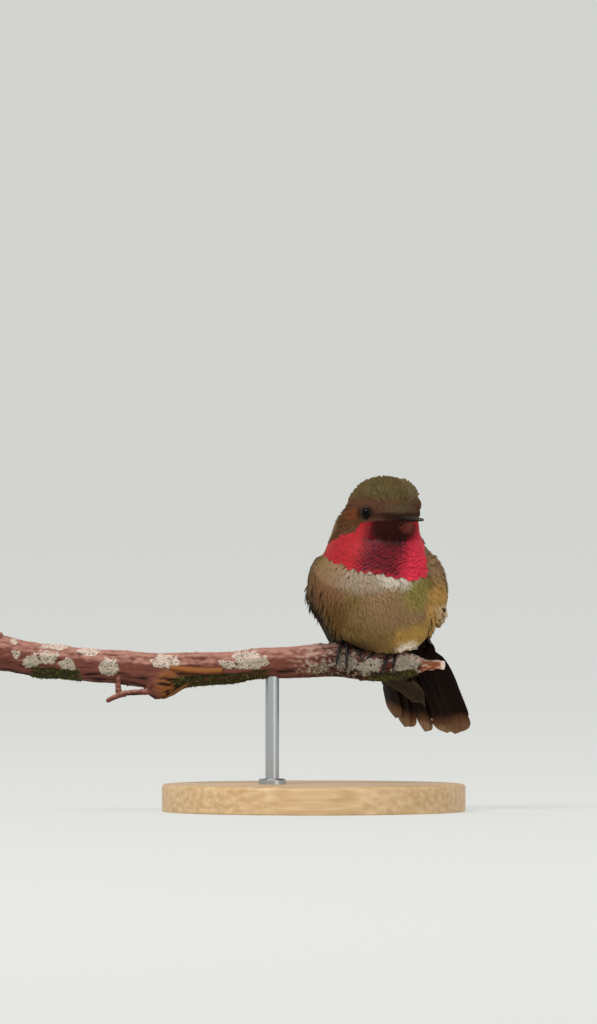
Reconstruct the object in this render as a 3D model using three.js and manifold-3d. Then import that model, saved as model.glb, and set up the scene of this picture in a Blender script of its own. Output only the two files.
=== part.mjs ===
// A male bee hummingbird with a red throat, puffed up and still on a cut length of branch. A plain
// display stand, a round base with one rod, holds the branch up.
// One unit is a millimetre and +Z is up. The branch runs along X, and the breast looks towards -Y.
// Shapes are laid out from the middle of the belly. The part's origin is the middle of the base's
// underside, and the whole group is moved there at the end.
import * as THREE from 'three';
import { mergeVertices } from 'three/addons/utils/BufferGeometryUtils.js';
import Module from 'manifold-3d';

const wasm = await Module();
wasm.setup();

const at = (x, y, z) => new THREE.Vector3(x, y, z);
const degrees = THREE.MathUtils.degToRad;
const { lerp, clamp, smoothstep } = THREE.MathUtils;

// ---- Driving dimensions ----
const GAP = 0.3; // between solids that meet
const BODY_CELL = 2.4; // grid that the body's surface is read on

const BODY_YAW = degrees(-20); // the breast turns to -X
const HEAD_YAW = degrees(27); // the bill turns to +X
const TRUNK_LEAN = degrees(28); // the breast hangs forward of the rump

const HEAD_CENTRE = at(1.15, -3.0, 18.7);
const HEAD_RADIUS = 7.95;
const EYE_RADIUS = 1.8;
const EYE_DEPTH = 6.1; // from the head's centre to an eye's centre
const EYE_BEARING = degrees(60); // each side of the bill
const EYE_HEIGHT = 0.1;
const BILL_LENGTH = 11.2;
const BILL_START = 7.5; // from the head's centre, under the face's feathers
const BILL_DROP = 1.05;
const BILL_HALF_WIDTH = 0.8;
const BILL_HEIGHT = 0.65; // of each half at the face
const GAPE = 0.2; // between the closed halves

const TAIL_ROOT = at(6.1, 9.2, -7.0);
const TAIL_TIP = at(12.3, 21.4, -28.4);
const TAIL_YAW = degrees(-30);
const TAIL_ROLL = degrees(7); // the left side lower
const TAIL_TILT = degrees(12); // of each feather, so that neighbours lie like shingles
// How far from the tail's middle line each tip lies, from the middle feather outward. Some have
// slid together, so that the half-open fan ends in a few rounded lobes.
const TAIL_TIPS = { right: [0.9, 1.6, 5.6, 6.5, 8.2], left: [3.2, 4.4, 6.8, 7.4, 9.6] };
const TAIL_SHORT = { right: 1.7, left: 0.3 }; // of each outermost feather's length
const TAIL_WIDTH = 2.3; // half of one feather's
const TAIL_ROOT_SPACING = 0.7;
const TAIL_BOW = { right: 1.3, left: 2.0 };
const TAIL_ROUNDING = 0.0008; // how much of its length a tip loses as it lies further out
const VANE = 0.5; // thickness of one tail feather
const TAIL_LAYER = VANE + 0.25; // from one feather's middle to the next one's

const ARM_END = 0.46; // of the way down the wing
const ARM_HALF_WIDTH = 4.8;
const ARM_SHIFT = 1.0; // towards the back
const ARM_THICKNESS = 1.5;

const PERCH_LEFT = -84.5;
const PERCH_RIGHT = 14.4;
const SHIN_RADIUS = 0.5;
const HUB_RADIUS = 0.62; // where the toes meet
const TOE_RADIUS = 0.42;
const CLAW_LENGTH = 2.0;
const FOOT_REACH = 4.4; // along the branch, each way, that the feathers leave free
// Places along the branch, and how far the front toes drift along it on their way down.
const FEET = { right: { place: -6.6, lean: -0.8 }, left: { place: 3.5, lean: -1.9 } };

const BASE_CENTRE = at(-14, 2, 0);
const BASE_RADIUS = 33;
const BASE_THICKNESS = 6;
const BASE_TOP = -40;
const BASE_BEVEL = 0.8;
const ROD_X = -23;
const ROD_RADIUS = 1.5;

// ---- Materials ----
const finish = (color, roughness, metalness = 0) =>
  new THREE.MeshStandardMaterial({ color, roughness, metalness });
const olive = finish('#5a4a32', 0.75);
const buff = finish('#85704e', 0.85);
const red = finish('#b62a35', 0.5);
const dusky = finish('#30261d', 0.7);
const black = finish('#140b0a', 0.65);
const horn = finish('#17110f', 0.4);
const eyeBlack = finish('#060404', 0.08);
const scaly = finish('#2a2020', 0.6);
const bark = finish('#6d4638', 0.9);
const wood = finish('#d9c3a0', 0.5);
const steel = finish('#b8bcc0', 0.3, 1);

// ---- Solids from fields ----
// A field gives a point's rough distance from a surface, negative inside it.
function ellipsoid(centre, radii, turn = new THREE.Quaternion()) {
  const unturn = turn.clone().invert();
  const q = at(0, 0, 0);
  return (p) => {
    q.copy(p).sub(centre).applyQuaternion(unturn).divide(radii);
    const near = q.length();
    const slope = q.divide(radii).length();
    return slope < 1e-9 ? -radii.x : (near * (near - 1)) / slope;
  };
}

const soften = (k, a, b) => {
  const h = Math.max(k - Math.abs(a - b), 0) / k;
  return Math.min(a, b) - (h * h * k) / 4;
};
const join = (k, ...fields) => (p) => fields.map((f) => f(p)).reduce((a, b) => soften(k, a, b));
const grown = (field, by) => (p) => field(p) - by;

function slopeOf(field, p) {
  const step = 0.05;
  const slope = at(0, 0, 0);
  for (const axis of ['x', 'y', 'z']) {
    const ahead = p.clone();
    const behind = p.clone();
    ahead[axis] += step;
    behind[axis] -= step;
    slope[axis] = (field(ahead) - field(behind)) / (2 * step);
  }
  return slope;
}

// Surface nets: one vertex in each grid cell that the surface crosses, then one face over each
// grid edge that it crosses. The vertices are drawn onto the surface at the end.
function surfaceOf(field, low, high, cell) {
  const size = high.clone().sub(low).divideScalar(cell).ceil();
  const stride = [1, size.x + 1, (size.x + 1) * (size.y + 1)];
  const values = new Float32Array(stride[2] * (size.z + 1));
  const corner = (i, j, k) => i + j * stride[1] + k * stride[2];
  const p = at(0, 0, 0);
  for (let k = 0; k <= size.z; k++)
    for (let j = 0; j <= size.y; j++)
      for (let i = 0; i <= size.x; i++)
        values[corner(i, j, k)] = field(p.set(i, j, k).multiplyScalar(cell).add(low));

  const vertexOf = new Map();
  const vertices = [];
  for (let k = 0; k < size.z; k++)
    for (let j = 0; j < size.y; j++)
      for (let i = 0; i < size.x; i++) {
        const crossing = at(0, 0, 0);
        let crossings = 0;
        for (const [axis, u, v] of [[0, 1, 2], [1, 2, 0], [2, 0, 1]])
          for (const du of [0, 1])
            for (const dv of [0, 1]) {
              const start = [i, j, k];
              start[u] += du;
              start[v] += dv;
              const a = values[corner(...start)];
              const b = values[corner(...start) + stride[axis]];
              if (a < 0 === b < 0) continue;
              start[axis] += a / (a - b);
              crossing.add(at(...start));
              crossings++;
            }
        if (!crossings) continue;
        vertexOf.set(corner(i, j, k), vertices.length);
        vertices.push(crossing.multiplyScalar(cell / crossings).add(low));
      }

  const index = [];
  for (let k = 1; k < size.z; k++)
    for (let j = 1; j < size.y; j++)
      for (let i = 1; i < size.x; i++)
        for (const [axis, u, v] of [[0, 1, 2], [1, 2, 0], [2, 0, 1]]) {
          const here = corner(i, j, k);
          const a = values[here];
          const b = values[here + stride[axis]];
          if (a < 0 === b < 0) continue;
          const ring = [here - stride[u] - stride[v], here - stride[v], here, here - stride[u]];
          const [q, r, s, t] = ring.map((c) => vertexOf.get(c));
          if (a < 0) index.push(q, r, s, q, s, t);
          else index.push(q, s, r, q, t, s);
        }

  for (const v of vertices)
    for (let pass = 0; pass < 3; pass++) {
      const slope = slopeOf(field, v);
      const move = clamp(field(v) / Math.max(slope.lengthSq(), 0.1), -cell / 2, cell / 2);
      v.addScaledVector(slope, -move);
    }
  return new THREE.BufferGeometry().setFromPoints(vertices).setIndex(index);
}

// ---- Solids from three.js geometries ----
function solid(geometry) {
  const bare = geometry.clone();
  bare.deleteAttribute('normal');
  bare.deleteAttribute('uv');
  const merged = mergeVertices(bare, 1e-4);
  return new wasm.Manifold(
    new wasm.Mesh({
      numProp: 3,
      vertProperties: new Float32Array(merged.attributes.position.array),
      triVerts: new Uint32Array(merged.index.array),
    }),
  );
}

const largest = (made) =>
  made.decompose().reduce((best, body) => (body.volume() > best.volume() ? body : best));

function geometryOf(made) {
  const mesh = made.getMesh();
  return new THREE.BufferGeometry()
    .setAttribute('position', new THREE.BufferAttribute(mesh.vertProperties, 3))
    .setIndex(new THREE.BufferAttribute(mesh.triVerts, 1));
}

// Six times the volume that a geometry's faces enclose, negative if they point inwards.
function enclosed(geometry) {
  const points = geometry.attributes.position;
  const [a, b, c] = [at(0, 0, 0), at(0, 0, 0), at(0, 0, 0)];
  let sum = 0;
  for (let i = 0; i < geometry.index.count; i += 3) {
    [a, b, c].forEach((v, j) => v.fromBufferAttribute(points, geometry.index.getX(i + j)));
    sum += a.dot(b.cross(c));
  }
  return sum;
}

// Moves every vertex of a geometry by a function of its own place, and keeps its faces outward.
function shaped(geometry, place) {
  const bare = geometry.clone();
  bare.deleteAttribute('normal');
  bare.deleteAttribute('uv');
  const merged = mergeVertices(bare, 1e-6);
  const points = merged.attributes.position;
  for (let i = 0; i < points.count; i++) {
    const moved = place(at(points.getX(i), points.getY(i), points.getZ(i)));
    points.setXYZ(i, moved.x, moved.y, moved.z);
  }
  if (enclosed(merged) < 0) merged.index.array.reverse();
  return merged;
}

// A frame on a curve: where it is, which way it goes, and a side and a facing across it.
function frameOn(curve, t, facing) {
  const along = curve.getTangentAt(t);
  const normal = facing.clone().addScaledVector(along, -facing.dot(along)).normalize();
  return { centre: curve.getPointAt(t), along, normal, side: along.clone().cross(normal) };
}

// A round rod along a curve, with a closed end at each side.
function taper(curve, facing, radiusAt, sides, steps) {
  return shaped(new THREE.CylinderGeometry(1, 1, 1, sides, steps), (p) => {
    const t = p.y + 0.5;
    const { centre, normal, side } = frameOn(curve, t, facing);
    const radius = radiusAt(t);
    return centre.addScaledVector(side, p.x * radius).addScaledVector(normal, p.z * radius);
  });
}

// A flat blade along a curve: a box whose width and facing change from root to tip.
function blade(curve, facingAt, halfWidthAt, thickness, steps, across = 2) {
  return shaped(new THREE.BoxGeometry(1, 1, 1, across, steps, 1), (p) => {
    const t = p.y + 0.5;
    const { centre, normal, side } = frameOn(curve, t, facingAt(t));
    const camber = 0.12 * (1 - 4 * p.x * p.x) * halfWidthAt(t);
    return centre
      .addScaledVector(side, 2 * p.x * halfWidthAt(t))
      .addScaledVector(normal, p.z * thickness + camber);
  });
}

// A smooth value between named stations, each [place, value].
function between(stations) {
  return (x) => {
    const last = stations.length - 1;
    const i = clamp(stations.findIndex(([place]) => place > x) - 1, 0, last - 1);
    const span = x >= stations[last][0] ? last - 1 : i;
    const [from, a] = stations[span];
    const [to, b] = stations[span + 1];
    return lerp(a, b, smoothstep(x, from, to));
  };
}

const group = new THREE.Group();
function piece(name, made, material) {
  const geometry = made.isBufferGeometry ? made : geometryOf(made);
  const mesh = new THREE.Mesh(geometry, material);
  mesh.name = name;
  group.add(mesh);
}

// ---- Perch: a cut branch, swollen at a knot, that tapers to a torn stub at +X ----
const perchZ = between([
  [-84.5, -11.3], [-71, -13.4], [-59, -14.5], [-47, -15.4], [-34, -14.8], [-24, -13.7],
  [-9.3, -13.1], [-2, -14.0], [2.5, -14.4], [5.6, -14.1], [8.2, -14.0], [14.4, -14.2],
]);
const perchRadius = between([
  [-84.5, 4.0], [-71, 3.7], [-59, 3.6], [-47, 3.9], [-34, 3.5], [-24, 3.35],
  [-9.3, 3.7], [-2, 3.4], [2.5, 3.1], [5.6, 2.8], [8.2, 2.0], [9.6, 1.15], [14.4, 0.85],
]);
const perchY = (x) => 0.7 * Math.sin(x / 14);

function branch(extra, from = PERCH_LEFT - extra, to = PERCH_RIGHT + extra, steps = 26) {
  const turned = new THREE.CylinderGeometry(1, 1, 1, 10, steps).rotateZ(-Math.PI / 2);
  return shaped(turned, (p) => {
    const x = lerp(from, to, p.x + 0.5);
    const radius = perchRadius(x) + extra;
    return at(x, perchY(x) + p.y * radius, perchZ(x) + p.z * radius);
  });
}
const knot = shaped(new THREE.SphereGeometry(1, 10, 8), (p) =>
  at(-47.2 + 4.2 * p.x, 3.6 * p.y, -17.2 + 0.35 * p.x + 4.6 * p.z));
const spurPath = new THREE.CatmullRomCurve3([
  at(-48, -1.5, -20), at(-53, -2.6, -20.1), at(-56, -3, -20.6), at(-59, -3.2, -21.9),
]);
const spurStub = new THREE.CatmullRomCurve3([
  at(-56.2, -1.6, -16), at(-56.5, -2.6, -18.6), at(-56.2, -2.9, -20.6),
]);
const forward = at(0, -1, 0);
const perch = solid(branch(0))
  .add(solid(knot))
  .add(solid(taper(spurPath, forward, (t) => 0.62 - 0.14 * t, 7, 5)))
  .add(solid(taper(spurStub, forward, () => 0.55, 7, 3)));
const perchRoom = solid(branch(GAP));

// ---- Body: one soft field of ellipsoids, parted into trunk, neck and head ----
const bodyTurn = new THREE.Quaternion().setFromEuler(new THREE.Euler(0, 0, BODY_YAW));
const headTurn = new THREE.Quaternion().setFromEuler(new THREE.Euler(0, 0, HEAD_YAW));
const inBody = (x, y, z) => at(x, y, z).applyQuaternion(bodyTurn);
const inHead = (x, y, z) => at(x, y, z).applyQuaternion(headTurn).add(HEAD_CENTRE);
const leanTurn = bodyTurn.clone().multiply(
  new THREE.Quaternion().setFromEuler(new THREE.Euler(TRUNK_LEAN, 0, 0)),
);
const tailWay = TAIL_TIP.clone().sub(TAIL_ROOT).normalize();
const tailLevel = at(Math.cos(TAIL_YAW), Math.sin(TAIL_YAW), 0);
const rumpTurn = new THREE.Quaternion().setFromUnitVectors(at(0, 0, -1), tailWay);

const trunkField = ellipsoid(inBody(0, 0.5, 0.6), at(13.1, 12.2, 14.4), leanTurn);
const breastField = ellipsoid(inBody(0, -2.0, 4.6), at(12.7, 10.2, 8.6), bodyTurn);
const neckField = ellipsoid(at(-0.5, -1.4, 10.9), at(10.2, 8.8, 6.0), bodyTurn);
const napeField = ellipsoid(at(-1.6, 0.7, 14.9), at(7.6, 6.6, 6.6), bodyTurn);
const rumpField = ellipsoid(
  TAIL_ROOT.clone().addScaledVector(tailWay, -4.4), at(6.2, 5.0, 8.0), rumpTurn);
const skullField = ellipsoid(
  HEAD_CENTRE, at(HEAD_RADIUS, HEAD_RADIUS, HEAD_RADIUS), headTurn);
const faceField = ellipsoid(inHead(0, -6.0, -1.3), at(3.3, 3.6, 3.1), headTurn);
const throatField = ellipsoid(inHead(-0.6, -3.4, -6.8), at(5.8, 5.0, 4.9), headTurn);
const bodyField = join(
  2.2, join(4.5, trunkField, breastField, neckField, napeField, rumpField),
  join(2.4, skullField, faceField, throatField),
);
const body = solid(surfaceOf(bodyField, at(-20, -20, -21), at(20, 22, 30), BODY_CELL));
const bodyRoom = solid(
  surfaceOf(grown(bodyField, GAP), at(-20, -20, -21), at(20, 22, 30), BODY_CELL));

// Thin slabs part the body where the neck feathers meet the face and the shoulders.
const slab = (centre, normal, size = 60) => {
  const turn = new THREE.Quaternion().setFromUnitVectors(at(0, 0, 1), normal.clone().normalize());
  return new THREE.BoxGeometry(size, size, GAP).applyQuaternion(turn)
    .translate(centre.x, centre.y, centre.z);
};
const above = (centre, normal, height = 60) => {
  const turn = new THREE.Quaternion().setFromUnitVectors(at(0, 0, 1), normal.clone().normalize());
  return new THREE.BoxGeometry(80, 80, height).translate(0, 0, height / 2)
    .applyQuaternion(turn).translate(centre.x, centre.y, centre.z);
};
const headCut = { centre: at(0.6, -2, 13.4), normal: at(-0.08, 0, 1) };
const neckCut = { centre: at(0, -1.5, 8.4), normal: at(0, -0.12, 1) };
const headPart = solid(above(headCut.centre, headCut.normal));
const neckPart = solid(above(neckCut.centre, neckCut.normal));
const headSlab = solid(slab(headCut.centre, headCut.normal));
const neckSlab = solid(slab(neckCut.centre, neckCut.normal));

// ---- Eyes and bill ----
const eyeCentre = (side) =>
  inHead(side * EYE_DEPTH * Math.sin(EYE_BEARING), -EYE_DEPTH * Math.cos(EYE_BEARING), EYE_HEIGHT);
const ball = (centre, radius, sides = 12) =>
  new THREE.SphereGeometry(radius, sides, Math.ceil(sides * 0.6)).translate(centre.x, centre.y, centre.z);

// Each half of the bill is a rod whose section is cut flat along the gape.
const billPath = new THREE.LineCurve3(
  inHead(0, -BILL_START, -BILL_DROP), inHead(0, -BILL_START - BILL_LENGTH, -BILL_DROP - 0.3));
const billSection = (t) => lerp(1, 0.66, Math.pow(t, 0.7)) * (t > 0.99 ? 0.75 : 1);
function billHalf(upward) {
  return shaped(new THREE.CylinderGeometry(1, 1, 1, 10, 5), (p) => {
    const t = p.y + 0.5;
    const { centre, side } = frameOn(billPath, t, at(0, 0, 1));
    const width = BILL_HALF_WIDTH * billSection(t);
    const height = BILL_HEIGHT * billSection(t);
    return centre.addScaledVector(side, p.x * width)
      .add(at(0, 0, upward * Math.max(p.z * upward * height, GAPE / 2)));
  });
}
const billRoom = solid(
  taper(billPath, at(0, 0, 1), (t) => BILL_HALF_WIDTH * billSection(t) + GAP, 8, 3));

// ---- Tail frame: which way the tail points, its side to the bird's left, and its back ----
const tailSide = tailLevel.clone()
  .addScaledVector(tailWay, -tailLevel.dot(tailWay)).normalize()
  .applyAxisAngle(tailWay, TAIL_ROLL);
const tailBack = tailSide.clone().cross(tailWay).normalize();
const tailLength = TAIL_TIP.distanceTo(TAIL_ROOT);
const onTail = (along, across, lift) =>
  TAIL_ROOT.clone().addScaledVector(tailWay, along).addScaledVector(tailSide, across)
    .addScaledVector(tailBack, lift);

// ---- Wings: an arm of small feathers that hugs the shoulder, and two strips of long ones ----
// The right wing hangs in front of the tail, and the left wing lies on the tail's back.
const wingStations = {
  right: [
    { at: at(-12.4, -4.0, 9.0), facing: at(-1, -0.3, 0.3), half: 2.4 },
    { at: at(-13.8, -0.6, 3.6), facing: at(-1, -0.1, 0.1), half: 3.0 },
    { at: at(-13.9, 4.4, -2.0), facing: at(-1, 0.05, -0.15), half: 3.3 },
    { at: at(-10.8, 9.0, -8.0), facing: at(-0.85, -0.1, -0.5), half: 3.0 },
    { at: at(-4.9, 11.4, -13.2), facing: at(-0.5, -0.75, -0.45), half: 1.9 },
    { at: at(4.3, 12.2, -18.0), facing: at(-0.25, -0.9, -0.4), half: 2.7 },
    { at: at(11.0, 13.4, -23.4), facing: at(-0.2, -0.9, -0.4), half: 1.8 },
  ],
  left: [
    { at: at(11.8, -6.6, 9.2), facing: at(1, -0.4, 0.3), half: 2.4 },
    { at: at(13.8, -3.0, 3.8), facing: at(1, -0.15, 0.1), half: 3.0 },
    { at: at(14.0, 2.6, -2.0), facing: at(1, 0.1, -0.1), half: 3.3 },
    { at: at(11.2, 9.4, -7.0), facing: at(0.9, 0.4, 0), half: 2.8 },
    { at: onTail(8.5, 2.2, 4.1), facing: tailBack, half: 2.0 },
    { at: onTail(15.5, 2.6, 3.3), facing: tailBack, half: 1.7 },
    { at: onTail(22, 2.8, 2.8), facing: tailBack, half: 0.9 },
  ],
};

const onBody = GAP + 0.1; // the height of a wing's inner face over the body

// Places on a wing: t runs from the shoulder to the tip, and across runs over its width. Where
// the body is near, the place is drawn down to a given height over it.
function wingMap(side) {
  const stations = wingStations[side];
  const path = new THREE.CatmullRomCurve3(stations.map((s) => s.at));
  const facings = new THREE.CatmullRomCurve3(stations.map((s) => s.facing));
  const halves = new THREE.SplineCurve(stations.map((s, i) => new THREE.Vector2(i, s.half)));
  const backward = side === 'left' ? -1 : 1;
  return (t, across, height, hug = 1) => {
    const normal = facings.getPoint(t).normalize();
    const crossways = path.getTangent(t).cross(normal).normalize();
    const place = path.getPoint(t).addScaledVector(crossways, backward * across);
    const hold = 1 - smoothstep(bodyField(place), 2 * hug, 5 * hug);
    const lying = place.clone();
    const out = normal.clone();
    for (let pass = 0; pass < 5; pass++) {
      out.copy(slopeOf(bodyField, lying).normalize());
      lying.addScaledVector(out, onBody - bodyField(lying));
    }
    place.lerp(lying, hold);
    normal.lerp(out, hold).normalize();
    return { place: place.addScaledVector(normal, height), half: halves.getPoint(t).y };
  };
}

// The arm is a low mound. Its height falls away to its rim.
function wingArm(onWing, extra = 0) {
  return shaped(new THREE.SphereGeometry(1, 14, 10), (p) => {
    const t = lerp(0, ARM_END, (1 - p.y) / 2);
    const half = ARM_HALF_WIDTH + extra;
    const height = p.z > 0 ? p.z * (ARM_THICKNESS + extra) : p.z * (0.05 + extra);
    return onWing(t, ARM_SHIFT + p.x * half, height + 0.05).place;
  });
}

// A strip of long feathers of one thickness, which narrows to a rounded tip.
function wingStrip(onWing, { from, to, shift, thickness, hug }, extra = 0) {
  return shaped(new THREE.BoxGeometry(1, 1, 1, 3, 11, 1), (p) => {
    const t = p.y + 0.5;
    const place = lerp(from, to, t);
    const round = Math.sqrt(Math.max(1 - Math.pow(t, 6), 0.03));
    const half = onWing(place, 0, 0).half * round + extra;
    const height = thickness / 2 + p.z * (thickness + 2 * extra);
    return onWing(place, shift * (1 - t) + 2 * p.x * half, height, hug).place;
  });
}

const PRIMARIES = { from: 0.26, to: 1, shift: 0, thickness: 0.9, hug: 0.6 };
const SECONDARIES = { from: 0.28, to: 0.56, shift: 3.8, thickness: 0.8, hug: 1.6 };
function wing(side) {
  const onWing = wingMap(side);
  const armRoom = solid(wingArm(onWing, GAP));
  const primaryRoom = solid(wingStrip(onWing, PRIMARIES, 2 * GAP));
  const bodyClear = (made) => largest(made.subtract(bodyRoom));
  return {
    room: primaryRoom,
    arm: bodyClear(solid(wingArm(onWing))),
    primaries: bodyClear(solid(wingStrip(onWing, PRIMARIES)).subtract(armRoom)),
    secondaries: bodyClear(
      solid(wingStrip(onWing, SECONDARIES)).subtract(armRoom).subtract(primaryRoom)),
  };
}
const wings = { left: wing('left'), right: wing('right') };

// ---- Tail: ten feathers in a fan, each outer one a layer further under ----
const outward = { left: 1, right: -1 };

function tailFeather(side, number) {
  const tips = TAIL_TIPS[side];
  const acrossAt = (n, t) => lerp((n + 0.5) * TAIL_ROOT_SPACING, tips[n], t);
  const drop = (t) => {
    let sum = 0;
    for (let n = 1; n <= number; n++) {
      const spacing = acrossAt(n, t) - acrossAt(n - 1, t);
      sum += Math.max(TAIL_LAYER - spacing * Math.sin(TAIL_TILT), 0) / Math.cos(TAIL_TILT);
    }
    return sum;
  };
  const outermost = number === tips.length - 1;
  const length = tailLength * (1 - TAIL_ROUNDING * tips[number] ** 2)
    - (outermost ? TAIL_SHORT[side] : 0);
  const bow = (TAIL_BOW[side] * number) / (tips.length - 1);
  const curve = new THREE.CatmullRomCurve3([0, 0.25, 0.5, 0.75, 1].map((t) => onTail(
    t * length, outward[side] * (acrossAt(number, t) + bow * Math.sin(Math.PI * t)), -drop(t))));
  const facing = tailBack.clone().multiplyScalar(Math.cos(TAIL_TILT))
    .addScaledVector(tailSide, -outward[side] * Math.sin(TAIL_TILT));
  const halfWidth = (t) =>
    TAIL_WIDTH * smoothstep(t, -0.55, 0.55) * Math.sqrt(Math.max(1 - Math.pow(t, 9), 0.05));
  return blade(curve, () => facing, halfWidth, VANE, 8);
}

// The middle pair stop either side of the tail's middle plane.
const middlePlane = (side) => solid(above(
  TAIL_ROOT.clone().addScaledVector(tailSide, outward[side] * 0.1),
  tailSide.clone().multiplyScalar(outward[side]),
));

// The coverts over and under the tail's root are long mounds, flat where they face the tail.
const mound = (side, { along, across, reach, half, thickness, clear }) =>
  shaped(new THREE.SphereGeometry(1, 8, 7), (p) => onTail(
    along + reach * p.y, across + side * p.x * half,
    side * (clear + (p.z > 0 ? p.z : 0.06 * p.z) * thickness),
  ));
const UNDERTAIL = { along: 5.4, across: -0.6, reach: 8.4, half: 2.7, thickness: 2.2, clear: 3.1 };
const UPPERTAIL = { along: 4.4, across: 0, reach: 7.2, half: 3.0, thickness: 1.2, clear: 1.5 };

// ---- Feet: three toes forward over the branch and one back, each with a claw ----
// Angles run from level in front, over the branch's top, to the back. A toe starts beside the
// others and drifts along the branch, both towards the outer side.
const TOES = {
  front_inner: { start: -0.95, drift: -2.6, from: 78, to: 24 },
  front_middle: { start: 0, drift: -0.5, from: 78, to: -12 },
  front_outer: { start: 0.95, drift: 0.7, from: 78, to: -6 },
  back: { start: 0.1, drift: 0.2, from: 100, to: 172 },
};

// A path that lies on the branch.
function overPerch(x, drift, from, to, clearance) {
  const points = [0, 0.2, 0.4, 0.6, 0.8, 1].map((t) => {
    const where = x + drift * Math.pow(t, 0.75);
    const angle = degrees(lerp(from, to, t));
    const radius = perchRadius(where) + GAP + clearance;
    return at(where, perchY(where) - radius * Math.cos(angle),
      perchZ(where) + radius * Math.sin(angle));
  });
  return new THREE.CatmullRomCurve3(points);
}

const ACROSS = at(1, 0, 0);
function foot(side) {
  const { place: x, lean } = FEET[side];
  const mirror = side === 'left' ? 1 : -1;
  const hub = at(x, perchY(x) - 0.5, perchZ(x) + perchRadius(x) + GAP + SHIN_RADIUS);
  const shinPath = new THREE.CatmullRomCurve3(
    [hub.clone(), hub.clone().add(at(0.1, 0.5, 1.2)), hub.clone().add(at(0.2, 1.4, 2.6))]);
  const shin = solid(taper(shinPath, ACROSS, () => SHIN_RADIUS, 6, 3))
    .add(solid(ball(hub, HUB_RADIUS, 8)));
  const hubRoom = solid(ball(hub, HUB_RADIUS + GAP, 8));
  const room = solid(taper(shinPath, ACROSS, () => HUB_RADIUS + GAP, 6, 2))
    .add(solid(ball(shinPath.getPointAt(1), HUB_RADIUS + GAP, 8)))
    .add(solid(branch(2 * (TOE_RADIUS + GAP), x + lean - FOOT_REACH, x + FOOT_REACH, 4)));
  const toes = Object.entries(TOES).map(([name, toe]) => {
    const drift = mirror * toe.drift + (name === 'back' ? 0 : lean);
    const path = overPerch(x + mirror * toe.start, drift, toe.from, toe.to, TOE_RADIUS);
    const knuckle = (t) => TOE_RADIUS * (1 - 0.18 * t + 0.05 * Math.sin(9 * Math.PI * t));
    const made = largest(solid(taper(path, ACROSS, knuckle, 6, 6)).subtract(hubRoom));
    const end = path.getPointAt(1);
    const way = path.getTangentAt(1);
    const inward = at(end.x, perchY(end.x), perchZ(end.x)).sub(end).normalize();
    const root = end.clone().addScaledVector(way, 0.15);
    const crown = end.clone().addScaledVector(way, CLAW_LENGTH * 0.5)
      .addScaledVector(inward, -0.3);
    const tip = end.clone().addScaledVector(way, CLAW_LENGTH * 0.93)
      .addScaledVector(inward, 0.12);
    const clawPath = new THREE.CatmullRomCurve3([root, crown, tip]);
    const claw = taper(clawPath, ACROSS, (t) => lerp(0.3, 0.1, t * t), 5, 2);
    return { name, made, claw };
  });
  return { shin, room, toes };
}
const feet = { left: foot('left'), right: foot('right') };

// ---- Stand ----
const rodTop = perchZ(ROD_X);
const rodHeight = rodTop - BASE_TOP;
const rod = solid(
  new THREE.CylinderGeometry(ROD_RADIUS, ROD_RADIUS, rodHeight, 32).rotateX(Math.PI / 2)
    .translate(ROD_X, perchY(ROD_X), BASE_TOP + rodHeight / 2 + GAP)).subtract(perchRoom);
const baseLow = BASE_TOP - BASE_THICKNESS;
const baseProfile = [
  [0, baseLow], [BASE_RADIUS, baseLow], [BASE_RADIUS, BASE_TOP - BASE_BEVEL],
  [BASE_RADIUS - BASE_BEVEL, BASE_TOP], [0, BASE_TOP],
].map(([r, z]) => new THREE.Vector2(r, z));
const base = new THREE.LatheGeometry(baseProfile, 36).rotateX(Math.PI / 2)
  .translate(BASE_CENTRE.x, BASE_CENTRE.y, 0);

// ---- Parting the body, and the finished group ----
const legRoom = feet.left.room.add(feet.right.room);
const bare = body.subtract(perchRoom).subtract(legRoom);
const billed = bare.subtract(billRoom)
  .subtract(solid(ball(eyeCentre(1), EYE_RADIUS + GAP)))
  .subtract(solid(ball(eyeCentre(-1), EYE_RADIUS + GAP)));
piece('head', largest(billed.intersect(headPart).subtract(headSlab)), olive);
piece('neck', largest(
  billed.intersect(neckPart).subtract(headPart).subtract(neckSlab).subtract(headSlab)), red);
piece('trunk', largest(
  billed.subtract(neckPart).subtract(neckSlab).subtract(headPart)), buff);
piece('bill_upper', billHalf(1), horn);
piece('bill_lower', billHalf(-1), horn);
piece('eye_left', ball(eyeCentre(1), EYE_RADIUS), eyeBlack);
piece('eye_right', ball(eyeCentre(-1), EYE_RADIUS), eyeBlack);
for (const [side, made] of Object.entries(wings)) {
  piece(`wing_${side}_coverts`, made.arm, olive);
  piece(`wing_${side}_primaries`, made.primaries, dusky);
  piece(`wing_${side}_secondaries`, made.secondaries, dusky);
}
for (const side of ['left', 'right'])
  for (const number of TAIL_TIPS[side].keys()) {
    const whole = solid(tailFeather(side, number)).subtract(bodyRoom);
    const made = number < 2 ? whole.intersect(middlePlane(side)) : whole;
    piece(`tail_feather_${side}_${number + 1}`, largest(made), black);
  }
piece('undertail_coverts', largest(
  solid(mound(-1, UNDERTAIL)).subtract(bodyRoom).subtract(wings.right.room)), buff);
piece('uppertail_coverts', largest(solid(mound(1, UPPERTAIL)).subtract(bodyRoom)), olive);
for (const [side, made] of Object.entries(feet)) {
  piece(`leg_${side}`, made.shin, scaly);
  for (const toe of made.toes) {
    piece(`toe_${side}_${toe.name}`, toe.made, scaly);
    piece(`claw_${side}_${toe.name}`, toe.claw, horn);
  }
}
piece('perch_branch', perch, bark);
piece('stand_rod', rod, steel);
piece('stand_base', base, wood);
group.position.set(-BASE_CENTRE.x, -BASE_CENTRE.y, -baseLow);

export default group;
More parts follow.
